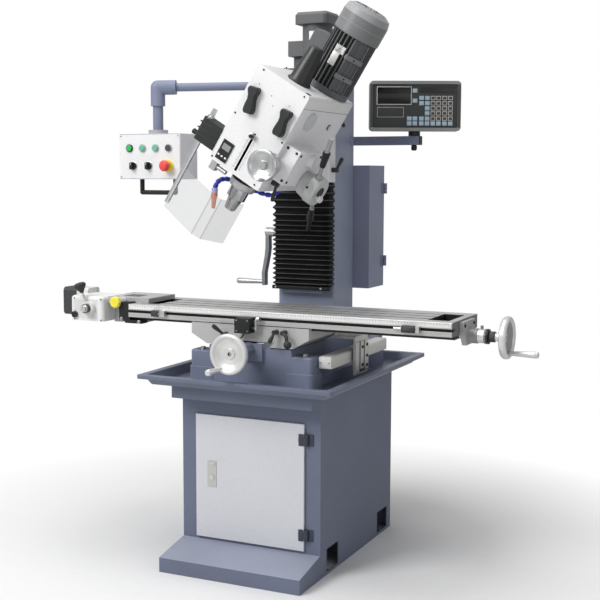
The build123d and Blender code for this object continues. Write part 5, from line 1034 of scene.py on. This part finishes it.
box_look = finish("control_box_paint", paint_film, "e4e4e5", 0.42, Mottle=0.015, Peel=420.0, zones=[
    box_of((-1, -1, 1.0), (1, 1, BOX_FOOT - 0.0005), "202123", 0.4),
    box_of((-1, -1, BOX_TOP + 0.0003), (1, 1, 2), "a3a4a6", 0.45),
    on_box("emergency_stop", (0, STOP_COLLAR), "f0d62c", 0.4),
    *[on_box(name, RING_RADII, "2b2c2e" if name == "start_button" else "b4b5b4", 0.4, 0.5)
      for name in PUSH_BUTTONS]])
dress(box_look, "control_box")
box_left, box_right = [corner.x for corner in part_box("control_box")]
fasten("box_corner_screws", add_screw, BOX_SCREW, [
    ((screw_x, BOX_FRONT, screw_z), FORWARD)
    for screw_x in (box_left + BOX_SCREW_IN, box_right - BOX_SCREW_IN)
    for screw_z in (BOX_FOOT + BOX_SCREW_IN, BOX_TOP - BOX_SCREW_IN)],
    zinc, "control_box")
blocks("box_front_edge", [
    ((box_left + EDGE_SIDE, BOX_FRONT - EDGE_PROUD, foot),
     (box_right - EDGE_SIDE, BOX_FRONT + 0.001, foot + EDGE_WIDE))
    for foot in (BOX_FOOT + EDGE_IN, BOX_TOP - EDGE_IN - EDGE_WIDE)],
    0.0003, cabinet_look, "control_box")
selector_rings = bmesh.new()
for name in SELECTORS:
    at = middle(name)
    add_turned(selector_rings, SELECTOR_RING, stand_at((at.x, BOX_FRONT, at.z), FORWARD))
piece("selector_rings", selector_rings, zinc, "control_box")
for look, code, rough, radius, relief, nodes in (
        ("green_button", "35b45c", 0.35, 0.001, 0.00002, ["start_button"]),
        ("teal_button", "6ab398", 0.35, 0.001, 0.00002, ["forward_button", "reverse_button"]),
        ("dark_button", "474849", 0.4, 0.001, 0.00002, ["stop_button"]),
        ("red_mushroom", "e4504e", 0.35, 0.0015, 0.00002, ["emergency_stop"]),
        ("selector_black", "242526", 0.4, 0.001, 0.00003, SELECTORS)):
    dress(finish(look, plastic_film, code, rough, radius=radius, relief=relief), *nodes)
for name in SELECTORS:
    low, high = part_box(name)
    at = middle(name)
    blocks(name + "_line", [((at.x - LINE_HALF, low.y - 0.0002, at.z + LINE_FOOT),
                             (at.x + LINE_HALF, low.y + 0.0005, high.z - LINE_HEAD))],
           0.0, white_ink, name)

# Digital readout: a moulded grey case on a pivot, with a dark membrane face sunk in its front. It
# has a black display window in a pale frame, pale blue keys, dark keys with a pale outline and a
# blank field.
READOUT_AT, READOUT_TURN = (0.365, 0.300, 1.548), math.radians(25)
SIDE_STRIPS = (((-0.1685, -0.0302, 0.0125), (-0.1575, -0.0290, 0.1725)),
               ((0.1575, -0.0302, 0.0125), (0.1685, -0.0290, 0.1725)))
PIVOT = ((-0.1, -0.1, -0.1), (0.1, 0.1, -0.0003))
FACE = -0.026
COLUMNS, ROWS = (23, 44.4, 66, 87, 109.5, 131), (122, 102.5, 83.8, 65.5, 46, 28)
KEY_HALF, CAP_HALF = (8.5, 7.5), (6.5, 5.5)
MEMBRANE_GRAIN = 2600.0
BLUE_KEYS = [(-1.5, 149), (-1.5, 112), (COLUMNS[0], ROWS[0]), (COLUMNS[0], ROWS[1])]
BLUE_KEYS += [(COLUMNS[1], row) for row in ROWS]
BLUE_KEYS += [(column, ROWS[-1]) for column in COLUMNS if column != COLUMNS[1]]
BLUE_KEYS += [(column, row) for column in (-22, -1) for row in ROWS[-2:]] + [(COLUMNS[0], ROWS[-2])]
DARK_KEYS = [(column, row) for column in COLUMNS[2:] for row in ROWS[:-1]]
readout_look = finish(
    "readout_case", plastic_film, "8b8c8b", 0.5, radius=0.002, relief=0.00004,
    turned=(READOUT_AT, (0, 0, READOUT_TURN)), zones=[
        *[box_of(low, high, "4c4d4d", 0.55) for low, high in SIDE_STRIPS],
        box_of(*PIVOT, "1d1e20", 0.45)])
dress(readout_look, "dro_unit")
readout_frame = Matrix.Translation(READOUT_AT) @ Matrix.Rotation(READOUT_TURN, 4, "Z")


def field(mesh, left, low, right, high, rise, bevel=0.0004):
    """Flat raised field on the face of the readout, in millimetres from the middle of its foot."""
    add_block(mesh, (left / 1000, FACE - rise / 1000, low / 1000),
              (right / 1000, FACE + 0.0005, high / 1000), bevel, readout_frame)


def key(mesh, place, half, rise, bevel):
    """Raised key round its middle."""
    (x, z), (wide, tall) = place, half
    field(mesh, x - wide, z - tall, x + wide, z + tall, rise, bevel)


membrane, outlines, window, bands, blue_keys, dark_keys = [bmesh.new() for part in range(6)]
field(membrane, -157.5, 12.5, 157.5, 172.5, 0.3)
field(outlines, -144, 97, -14, 164, 0.6)
field(window, -141.5, 99.5, -16.5, 161.5, 0.9)
field(bands, -140, 120, -18, 138, 1.1)
field(bands, 16, 140, 147, 162, 0.6)
field(outlines, -142, 51, -43, 88, 0.6)
field(membrane, -140.8, 52.2, -44.2, 86.8, 0.9)
for place in BLUE_KEYS:
    key(blue_keys, place, KEY_HALF, 2.0, 0.0008)
for place in DARK_KEYS:
    key(outlines, place, KEY_HALF, 1.2, 0.0006)
    key(dark_keys, place, CAP_HALF, 1.9, 0.0006)
for name, mesh, look, film, code, rough, radius, relief, slot in (
        ("membrane", membrane, "membrane", plastic_film, "3d3e3e", 0.55, 0.0006, 0.00003,
         "readout_grey"),
        ("outlines", outlines, "outline", paint_film, "d3d1cd", 0.5, 0.0003, 0.00001, "white"),
        ("window", window, "window", plastic_film, "0e0e0f", 0.25, 0.0006, 0.00001,
         "black_plastic"),
        ("bands", bands, "band", plastic_film, "2c2d2d", 0.3, 0.0006, 0.00001, "black_plastic"),
        ("blue_keys", blue_keys, "blue_keys", plastic_film, "a9bfcf", 0.45, 0.0008, 0.00002,
         "light_grey"),
        ("dark_keys", dark_keys, "dark_keys", plastic_film, "4b4a49", 0.5, 0.0008, 0.00002,
         "readout_grey")):
    grain = {"Grain": MEMBRANE_GRAIN} if mesh is membrane else {}
    look = finish("readout_" + look, film, code, rough, radius=radius, relief=relief, **grain)
    piece("readout_" + name, mesh, look, "dro_unit")

# Head: the gear housing with its feed box is an iron casting, filled smooth and painted pale grey,
# like its top cover. A steel block with a pin is bolted under its front left, and a black ring
# closes the bore of the quill. The feed box has a round boss on its right.
HEAD_AT, HEAD_TURN = (0, 0, 1.504), math.radians(32)
HEAD_FOOT, SPINDLE_Y, COVER_SEAM, COVER_TOP = -0.1392, -0.205, 0.186, 0.231
BORE_RING, SIDE_FACE = 0.0605, (0.1133, 0.2)
STEEL_BLOCK = ((-0.101, -0.313, -0.175), (-0.034, -0.285, HEAD_FOOT))
SIGHT_AT, SIGHT_RING, SIGHT_GLASS = (0, -0.046, 0.128), (0, 0.0113), (0.003, 0.0088)
DISC_AT, DISC_RADIUS = (0, -0.223, 0.141), 0.0333
SEAM = ((-0.2, -0.4, COVER_SEAM - 0.0022), (0.2, 0.1, COVER_SEAM + 0.001))
DEPTH_SLOT = ((-0.0048, -0.4, -0.1245), (0.0048, 0.0225))
FEED_FRONT, FEED_SIDE, FEED_BOX_SCREW = -0.3000, 0.1740, 0.0046
FRONT_SCREWS = ((0.124, 0.043), (0.162, 0.043), (0.124, -0.064), (0.162, -0.064))
SIDE_SCREWS = ((-0.286, 0.040), (-0.124, 0.040), (-0.286, -0.064))
OIL_LID = ((0.084, -0.304, COVER_TOP - 0.0006), (0.100, -0.286, COVER_TOP + 0.0012))
BOSS_AT = (FEED_SIDE - 0.0002, -0.185, 0.024)
BOSS = [(0, 0), (0.0245, 0), (0.0235, 0.0025), (0.0220, 0.0045), (0.0220, 0.0165), (0.0205, 0.0180),
        (0.0120, 0.0180), (0.0110, 0.0166), (0, 0.0166)]
HEAD = Matrix.Translation(HEAD_AT) @ Matrix.Rotation(HEAD_TURN, 4, "Y")
head_place = (HEAD_AT, (0, HEAD_TURN, 0))
side_axis = HEAD.to_3x3() @ Vector((1, 0, 0))


def on_head(*point):
    """Place in the room of a point in the axes of the head."""
    return HEAD @ Vector(point)


def turned_piece(name, profile, at, material, body, steps=32):
    """Piece of one turned form."""
    mesh = bmesh.new()
    add_turned(mesh, profile, at, steps)
    return piece(name, mesh, material, body)


def slot_shade(back):
    """Dark slot of the depth pointer, as deep as a given back."""
    return box_of(DEPTH_SLOT[0], (DEPTH_SLOT[1][0], back, DEPTH_SLOT[1][1]), "151516", 0.6)


# The round disc on the side of the head is painted a darker grey than the head, a painted shade.
head_look = finish(
    "head_paint", cast_film, HEAD_GREY, 0.45, relief=0.0001, radius=0.0025, Mottle=0.02, Sand=220.0,
    turned=head_place, zones=[
        tube_of((0, SPINDLE_Y, 0), UP, (0, BORE_RING), (-0.2, HEAD_FOOT), "222325", 0.45, 0.2),
        box_of(*STEEL_BLOCK, "b6b7b8", 0.35, 0.8),
        tube_of(SIGHT_AT, LONG, SIGHT_RING, SIDE_FACE, "5c5d5e", 0.3, 0.6),
        tube_of(SIGHT_AT, LONG, SIGHT_GLASS, SIDE_FACE, "f0f0f0", 0.3, 0.3),
        tube_of(DISC_AT, LONG, (0, DISC_RADIUS), SIDE_FACE, "cccdce", 0.4),
        box_of(*SEAM, "8d8e90", 0.5), slot_shade(-0.21)])
dress(head_look, "head_housing")
cover_look = finish("cover_paint", cast_film, "e5e5e6", 0.42, relief=0.0001, radius=0.0025,
                    Mottle=0.02)
dress(cover_look, "head_top_cover")
fasten("feed_box_screws", add_screw, FEED_BOX_SCREW, [
    *[(on_head(screw_h, FEED_FRONT, screw_w), FORWARD) for screw_h, screw_w in FRONT_SCREWS],
    *[(on_head(FEED_SIDE, screw_y, screw_w), side_axis) for screw_y, screw_w in SIDE_SCREWS]],
    black_screw, "head")
blocks("oil_filler_lid", [OIL_LID], 0.0006, black_plastic, "head", HEAD)
turned_piece("feed_box_boss", BOSS, stand_at(on_head(*BOSS_AT), side_axis),
             cover_look, "head")

# Front panel of the head: a steel plate, coated white, held by six small screws. It has the slot of
# the depth pointer between two columns of marks, and a small black depth readout in a raised frame.
PANEL_FACE, PANEL_SCREW = -0.3202, 0.0032
DEPTH_FRAME = ((-0.0915, -0.4, -0.1255), (-0.0445, PANEL_FACE - 0.0003, -0.0515))
DEPTH_WINDOW = ((-0.0840, -0.4, -0.0860), (-0.0520, PANEL_FACE - 0.0033, -0.0640))
PANEL_SCREWS = ((-0.084, 0.221), (0.094, 0.221), (-0.103, 0.044), (0.104, 0.050), (-0.103, -0.129),
                (0.090, -0.126))
DEPTH_MARKS, DEPTH_START, DEPTH_STEP, DEPTH_NEAR = 25, -0.115, 0.005, 0.009
DEPTH_LONG, DEPTH_SHORT, DEPTH_HALF = 0.010, 0.006, 0.0004
LEVER_PIVOTS = ((-0.058, 0.084), (0.078, 0.078))
DOT_TURNS, DOT_FAR, DOT_SIDE = (-30, 10, 50), 0.090, 0.1
DOT = [(0, 0), (0.0018, 0), (0.0018, 0.0003), (0, 0.0003)]
KEY_PLACES, KEY_WIDE = (-0.083, -0.068, -0.053), 0.004
KEY_LEVELS, KEY_DEPTHS = (-0.1120, -0.1060), (0.0052, 0.0030)
panel_look = finish(
    "panel_paint", paint_film, "e9e9ea", 0.4, radius=0.001, Mottle=0.01, Peel=500.0,
    turned=head_place, zones=[
        slot_shade(-0.3), box_of(*DEPTH_FRAME, "1d1e20", 0.45),
        box_of(*DEPTH_WINDOW, "8e9191", 0.3)])
dress(panel_look, "front_panel")
fasten("panel_screws", add_screw, PANEL_SCREW, [
    (on_head(screw_h, PANEL_FACE, screw_w), FORWARD) for screw_h, screw_w in PANEL_SCREWS],
    black_screw, "head")
depth_marks = bmesh.new()
for mark in range(DEPTH_MARKS):
    level = DEPTH_START + mark * DEPTH_STEP
    far = DEPTH_NEAR + (DEPTH_LONG if mark % 5 == 0 else DEPTH_SHORT)
    for left, right in ((-far, -DEPTH_NEAR), (DEPTH_NEAR, far)):
        add_block(depth_marks, (left, PANEL_FACE - 0.0002, level - DEPTH_HALF),
                  (right, PANEL_FACE + 0.0004, level + DEPTH_HALF), 0.0, HEAD)
for pivot_h, pivot_w in LEVER_PIVOTS:
    for turn in map(math.radians, DOT_TURNS):
        dot_h, dot_w = pivot_h - DOT_FAR * math.sin(turn), pivot_w + DOT_FAR * math.cos(turn)
        if abs(dot_h) < DOT_SIDE:
            dot_at = stand_at(on_head(dot_h, PANEL_FACE, dot_w), FORWARD)
            add_turned(depth_marks, DOT, dot_at, 14)
black_ink = finish("black_ink", paint_film, "2b2c30", 0.5, radius=0.0002, relief=0.00001)
piece("depth_marks", depth_marks, black_ink, "head")
blocks("depth_readout_keys", [
    ((key_h - KEY_WIDE, PANEL_FACE - KEY_DEPTHS[0], KEY_LEVELS[0]),
     (key_h + KEY_WIDE, PANEL_FACE - KEY_DEPTHS[1], KEY_LEVELS[1])) for key_h in KEY_PLACES],
    0.0008, white_ink, "head", HEAD)

# Main motor: a finned aluminium motor, sprayed dark grey, flanged on the top cover. It has a
# pressed fan cover, a terminal box on its left, two foot pads on its right and bare plates on its
# front fins.
MOTOR_AT = Vector((0.035, -0.045, 0))
FIN_ROOT, FIN_TIP, FIN_SPAN = 0.0742, 0.0826, (0.2552, 0.4478)
FAN_COVER, FAN_DOME, FAN_END, FAN_RADIUS = 0.4485, 0.5195, 0.6, 0.2
PAD_TURN, PLATES_TURN = -44, -88
PAD_ROOT, PAD_RAIL, PAD_FLOOR, PAD_END = 0.074, 0.0865, 0.0800, 0.002
RAIL_YS, RAIL_WIDE, FLOOR_YS = (-0.030, 0.026), 0.005, (-0.028, 0.029)
LUG_FACE, LUG_HALF, LUG_TALL, LUG_LEVELS = 0.0890, 0.034, 0.017, (0.300, 0.372)
LUG_HOLE = [(0, 0), (0.0035, 0), (0.0035, 0.0004), (0, 0.0004)]
MOTOR_PLATES = (((-0.016, 0.330), (0.010, 0.405)), ((-0.016, 0.378), (0.022, 0.405)))
PLATE_ROOT, PLATE_PROUD = 0.004, 0.0012
BOLT_CIRCLE, BOLT_LEVEL, MOTOR_BOLT = 0.0775, 0.2550, 0.0045
FAN_SLOTS, SLOT_WIDE, SLOT_FOOT = 16, 0.0022, 0.5520
SLOT_RINGS = ((0.018, 0.034, 0.5545), (0.041, 0.057, 0.5537))
CREASE_RADIUS, CREASE_LEVEL = 0.0860, 0.489
CREASE_FORM = ((-0.001, -0.003), (0, -0.002), (0.0007, 0), (0, 0.002), (-0.001, 0.003),
               (-0.001, -0.003))
# Between its fins the body is painted near black, a painted shade; the fan cover is painted paler
# and its dome paler still, a painted highlight.
spindle_motor_look = finish(
    "spindle_motor_paint", paint_film, MOTOR_GREY, 0.5, radius=0.0012, Peel=500.0, Mottle=0.05,
    turned=head_place, zones=[
        tube_of(MOTOR_AT, UP, (0, FIN_ROOT), FIN_SPAN, "1f2021", 0.6),
        tube_of(MOTOR_AT, UP, (0, FAN_RADIUS), (FAN_COVER, FAN_END), "7b7c7d", 0.36),
        tube_of(MOTOR_AT, UP, (0, FAN_RADIUS), (FAN_DOME, FAN_END), "9c9d9e", 0.3)])
dress(spindle_motor_look, "spindle_motor")


def round_motor(turn):
    """Frame on the motor's axis, turned round it by degrees."""
    return HEAD @ Matrix.Translation(MOTOR_AT) @ Matrix.Rotation(math.radians(turn), 4, "Z")


spindle_axis = HEAD.to_3x3() @ Vector((0, 0, 1))
pad_frame = round_motor(PAD_TURN)
pad_low, pad_high = FIN_SPAN[0] + PAD_END, FIN_SPAN[1] - PAD_END
blocks("motor_side_frame", [
    *[((PAD_ROOT, rail, pad_low), (PAD_RAIL, rail + RAIL_WIDE, pad_high)) for rail in RAIL_YS],
    ((PAD_ROOT, FLOOR_YS[0], pad_low), (PAD_FLOOR, FLOOR_YS[1], pad_high))],
    0.001, motor_look, "head", pad_frame)
lug_look = finish("motor_lugs", paint_film, "7b7c7d", 0.45, radius=0.0012, Peel=500.0)
blocks("motor_foot_lugs", [
    ((PAD_ROOT, -LUG_HALF, level), (LUG_FACE, LUG_HALF, level + LUG_TALL)) for level in LUG_LEVELS],
    0.002, lug_look, "head", pad_frame)
# Black discs on the lugs stand for their holes, a painted shade.
pad_holes = bmesh.new()
for level in LUG_LEVELS:
    hole_at = pad_frame @ Vector((LUG_FACE, 0, level + LUG_TALL / 2))
    add_turned(pad_holes, LUG_HOLE, stand_at(hole_at, pad_frame.to_3x3() @ Vector((1, 0, 0))), 18)
piece("motor_pad_holes", pad_holes, black_plastic, "head")
blocks("motor_plates", [
    ((FIN_TIP - PLATE_ROOT, *low), (FIN_TIP + PLATE_PROUD, *high)) for low, high in MOTOR_PLATES],
    0.0004, plate_white, "head", round_motor(PLATES_TURN))
fasten("motor_flange_bolts", add_bolt, MOTOR_BOLT, [
    (round_motor(turn) @ Vector((BOLT_CIRCLE, 0, BOLT_LEVEL)), spindle_axis)
    for turn in (45, 135, 225, 315)],
    black_screw, "head")
fan_slots = bmesh.new()
for inner, outer, top in SLOT_RINGS:
    for step in range(FAN_SLOTS):
        add_block(fan_slots, (inner, -SLOT_WIDE, SLOT_FOOT), (outer, SLOT_WIDE, top), 0.0,
                  round_motor(360 * step / FAN_SLOTS))
piece("fan_cover_slots", fan_slots, black_plastic, "head")
crease_look = finish("fan_cover_crease", paint_film, "8f9091", 0.45, radius=0.0008)
turned_piece("fan_cover_crease", [(CREASE_RADIUS + out, up) for out, up in CREASE_FORM],
             stand_at(on_head(MOTOR_AT.x, MOTOR_AT.y, CREASE_LEVEL), spindle_axis),
             crease_look, "head")

# Cap over the drawbar: a tapered cap, moulded in black plastic, with a flange at its foot that
# stands on the top cover.
CAP_TALL = 0.135
CAP = [(0, 0), (0.0435, 0), (0.0440, 0.0010), (0.0440, 0.0055), (0.0425, 0.0072), (0.0395, 0.0085),
       (0.0380, 0.0120), (0.0275, CAP_TALL - 0.0080), (0.0262, CAP_TALL - 0.0035),
       (0.0230, CAP_TALL - 0.0008), (0.0150, CAP_TALL), (0, CAP_TALL)]
cap_look = finish("drawbar_black", plastic_film, "202123", 0.36, radius=0.002, relief=0.00002,
                  gloss=0.5)
cap_at = stand_at(on_head(0, SPINDLE_Y, COVER_TOP), spindle_axis)
drawbar_cap = turned_piece("drawbar_cap", CAP, cap_at, cap_look, "head")
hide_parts("drawbar_cover")

# Speed levers: waisted grips moulded in black plastic, on short shafts that come through the front
# panel of the head.
speed_look = finish("speed_lever_black", plastic_film, "2a2b2c", 0.42, radius=0.001, relief=0.00003)
dress(speed_look, "speed_lever_left", "speed_lever_right")

# Feed hub: a turned hub, painted pale grey, with two steel levers with black grips, a dark clutch
# bore in its end and a small pale knob.
GRIP_BLACK = "1f2021"
HUB_START, HUB_Y, HUB_W, HUB_RADIUS, HUB_SPAN = 0.1745, -0.155, -0.060, 0.0545, (-0.001, 0.0768)
GRIP_RADII, GRIP_RADIUS, GRIP_REACH = (0.1045, 0.1715), 0.02, (0.066, 0.3)
LOWER_TURN, LOWER_AT, LOWER_ROOT = 140, 0.228, 0.040
SET_TURN, SET_AT, SET_ROOT, SET_RADIUS = -85, 0.219, 0.0538, 0.004
BORE_AT = 0.0766
CLUTCH_BORE = [(0, 0.0002), (0.015, 0.0002), (0.017, 0.0016), (0.021, 0.0016), (0.022, 0), (0, 0)]
hub_at = on_head(HUB_START, HUB_Y, HUB_W)


def out_of_hub(degrees):
    """Way out of the hub at a turn round it."""
    turn = math.radians(degrees)
    return HEAD.to_3x3() @ Vector((0, math.sin(turn), math.cos(turn)))


lower_run, set_run = out_of_hub(LOWER_TURN), out_of_hub(SET_TURN)
lower_root = on_head(LOWER_AT, HUB_Y, HUB_W) + lower_run * LOWER_ROOT
hub_look = finish(
    "feed_hub_finish", lathe_film, "a7a8a9", 0.36, 0.7, relief=0.00002,
    Centre=hub_at, Axis=side_axis, zones=[
        tube_of(hub_at, side_axis, (0, HUB_RADIUS), HUB_SPAN, "c6c7c7", 0.4, 0.3),
        tube_of(hub_at, side_axis, (0, HUB_RADIUS), (HUB_SPAN[1], 0.2), "dedede", 0.4, 0.1),
        tube_of(hub_at, side_axis, GRIP_RADII, (-1, 1), GRIP_BLACK, 0.42),
        tube_of(lower_root, lower_run, (0, GRIP_RADIUS), GRIP_REACH, GRIP_BLACK, 0.42)])
dress(hub_look, "feed_hub")
turned_piece("hub_clutch_bore", CLUTCH_BORE, stand_at(hub_at + side_axis * BORE_AT, side_axis),
             black_plastic, "feed_hub")
fasten("hub_set_screw", add_screw, SET_RADIUS, [
    (on_head(SET_AT, HUB_Y, HUB_W) + set_run * SET_ROOT, set_run)],
    black_screw, "feed_hub")

# Fine feed wheel: a small dished wheel turned from alloy and polished, with a graduated ring behind
# it, on the worm shaft at the front of the feed box.
FINE_RING, FINE_RADII = (-0.058, -0.021), (0.0335, 0.0365)
FINE_RADIUS, FINE_OUT, FINE_MARK, FINE_MARKS = 0.036, 0.0265, 0.010, 60
fine_at = on_head(0.112, -0.3, -0.035)
fine_look = finish(
    "fine_wheel_alloy", lathe_film, "c6c7c8", 0.26, 0.85, relief=0.00003, radius=0.0015,
    Centre=fine_at, Axis=CROSS, Rings=900.0, Streak=0.08,
    zones=[tube_of(fine_at, CROSS, FINE_RADII, FINE_RING, "c3c4c4", 0.4, 0.5)])
dress(fine_look, "fine_feed_wheel")
dial_marks("fine_dial_marks", stand_at(fine_at - Vector((0, FINE_OUT, 0)), FORWARD),
           FINE_RADIUS, FINE_MARK, FINE_MARKS, black_ink, "fine_feed_wheel")

# Quill and spindle: hardened steel, ground and turned, with a black seal round the bright collar of
# the quill. The depth pointer is a steel clip with a black knob.
COLLAR_RADIUS, COLLAR_SPAN, SEAL_FOOT = 0.0495, (-0.196, -0.1535), -0.169
POINTER = ((-0.014, -0.3290, 0.003), (0.014, -0.3265, 0.019))
POINTER_KNOB = [(0, 0), (0.0062, 0), (0.0068, 0.002), (0.0068, 0.0095), (0.005, 0.012), (0, 0.012)]
POINTER_AT = (0, -0.3330, 0.011)
spindle_at = on_head(0, SPINDLE_Y, 0)
quill_look = finish(
    "quill_steel", lathe_film, "b3b4b5", 0.26, 1.0, relief=0.00003,
    Centre=spindle_at, Axis=spindle_axis, zones=[
        tube_of(spindle_at, spindle_axis, (0, COLLAR_RADIUS), COLLAR_SPAN, "c4c5c5", 0.35, 0.6),
        tube_of(spindle_at, spindle_axis, (0, COLLAR_RADIUS), (SEAL_FOOT, COLLAR_SPAN[1]),
                "1d1e1f", 0.45, 0.1)])
dress(quill_look, "quill")
spindle_look = finish("spindle_steel", lathe_film, "c3c4c5", 0.22, 1.0, relief=0.00003,
                      Centre=spindle_at, Axis=spindle_axis)
dress(spindle_look, "spindle", "spindle_shaft")
blocks("depth_pointer", [POINTER], 0.0008, zinc, "quill", HEAD)
turned_piece("depth_knob", POINTER_KNOB, stand_at(on_head(*POINTER_AT), FORWARD),
             black_plastic, "quill", 24)
dress(clamp_look, "quill_lock")

# Chip guard: a bright steel rod in a black ribbed bracket on the left of the head, clamped by a
# bright collar, with a bent sheet of clear plastic at its foot.
RIB_LOW, RIB_HIGH, RIB_HALF = (-0.2046, -0.3246), (-0.1135, -0.2634), 0.002
RIB_LEVELS = (-0.094, -0.071, -0.048)
GUARD_KNOB = [(0, 0), (0.005, 0), (0.005, 0.006), (0.009, 0.008), (0.010, 0.018), (0.006, 0.021),
              (0, 0.021)]
GUARD_KNOB_AT = (-0.2040, -0.300, -0.099)
ROD_AT, ROD_RADIUS, ROD_SPAN = (-0.185, -0.300, 0), 0.0096, (-0.3718, 1)
CLAMP_RADIUS, CLAMP_SPAN = 0.0146, (-0.03, 0.02)
CREASES, CREASE_HALF = ((-0.012, -0.362, 0), (0.022, -0.352, 0)), 0.0028
SHEET_BODY, CREASE_BODY = 0.22, 0.42
bracket_black = finish("guard_bracket_black", plastic_film, "262728", 0.45, relief=0.00004)
dress(bracket_black, "guard_bracket")
blocks("guard_bracket_ribs", [
    ((*RIB_LOW, level - RIB_HALF), (*RIB_HIGH, level + RIB_HALF)) for level in RIB_LEVELS],
    0.0008, bracket_black, "head", HEAD)
turned_piece("guard_knob", GUARD_KNOB, stand_at(on_head(*GUARD_KNOB_AT), -side_axis),
             bracket_black, "head", 24)
# The bends of the sheet are painted darker and less clear, a painted shade.
guard_zones = [tube_of(ROD_AT, UP, (0, ROD_RADIUS), ROD_SPAN, "d6d7d8", 0.2, 1.0),
               tube_of(ROD_AT, UP, (0, CLAMP_RADIUS), CLAMP_SPAN, "c9cacb", 0.25, 1.0),
               *[tube_of(at, UP, (0, CREASE_HALF), (-1, 1), "8f9193", 0.3) for at in CREASES]]
guard_look = finish("guard_finish", plastic_film, "b6b8ba", 0.25, radius=0.0006, relief=0.00001,
                    turned=head_place, zones=guard_zones)
clear = Nodes(guard_look.node_tree)
local = own_point(clear, head_place)
cover = SHEET_BODY
guard_bodies = (1.0, 1.0, CREASE_BODY, CREASE_BODY)
for (zone, sizes, code, rough, metal), body in zip(guard_zones, guard_bodies):
    mask = clear.put("Group", {"Point": local, **sizes}, node_tree=zone.tree)
    cover = clear.mix_value(mask, cover, body)
clear.feed(clear.tree.nodes["Principled BSDF"].inputs["Alpha"], cover)
dress(guard_look, "chip_guard")

# Coolant hose: jointed blue plastic links, each a cup on the ball of the one before, screwed into
# the foot of the head and led round the spindle to a lilac valve piece and an orange nozzle.
HOSE_RUN = ((0.096, -0.120, -0.137), (0.096, -0.120, -0.158), (0.084, -0.119, -0.176),
            (0.060, -0.117, -0.188), (0.033, -0.117, -0.196), (0.005, -0.118, -0.201),
            (-0.024, -0.122, -0.204), (-0.050, -0.134, -0.205), (-0.069, -0.158, -0.206),
            (-0.079, -0.187, -0.208), (-0.080, -0.216, -0.212), (-0.075, -0.240, -0.220),
            (-0.066, -0.256, -0.236))
NOZZLE_TIP = (-0.026, -0.270, -0.300)
LINK_R = 0.0088
VALVE_RADIUS, VALVE_SPAN, VALVE_LOBES, LOBE_RISE = 0.0105, (0.003, 0.022), 16, 0.0009
NOZZLE = [(0.006, 0.0222), (0.0112, 0.0222), (0.0118, 0.026), (0.0118, 0.033), (0.0100, 0.036),
          (0.0062, 0.0745), (0.0040, 0.0745), (0.0040, 0.060), (0.006, 0.0222)]


def hose_finish(name, code):
    """Smooth moulded plastic of a hose piece."""
    return finish(name, plastic_film, code, 0.4, radius=0.0008, relief=0.00002)


hose = bmesh.new()
hose_points = [on_head(*point) for point in HOSE_RUN]
for start, end in zip(hose_points, hose_points[1:]):
    run = (end - start).length
    add_turned(hose, [
        (0, -0.003), (LINK_R - 0.004, -0.002), (LINK_R - 0.0025, 0), (LINK_R - 0.0025, 0.25 * run),
        (LINK_R - 0.0005, 0.4 * run), (LINK_R, 0.5 * run), (LINK_R, 0.85 * run),
        (LINK_R - 0.001, run), (LINK_R - 0.003, run + 0.002), (0, run + 0.003)],
        stand_at(start, end - start), 20)
hose_look = hose_finish("hose_plastic", "3540b4")
coolant_links = piece("coolant_links", hose, hose_look, "head")
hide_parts("coolant_hose")
nozzle_at = stand_at(hose_points[-1], (on_head(*NOZZLE_TIP) - hose_points[-1]).normalized())
valve_collar = bmesh.new()
add_knurl(valve_collar, nozzle_at, VALVE_RADIUS, *VALVE_SPAN, VALVE_LOBES, LOBE_RISE)
lilac_look = hose_finish("valve_lilac", "b3b0da")
piece("coolant_valve_collar", valve_collar, lilac_look, "head")
turned_piece("coolant_nozzle_cone", NOZZLE, nozzle_at, hose_finish("nozzle_orange", "f5813a"),
             "head")
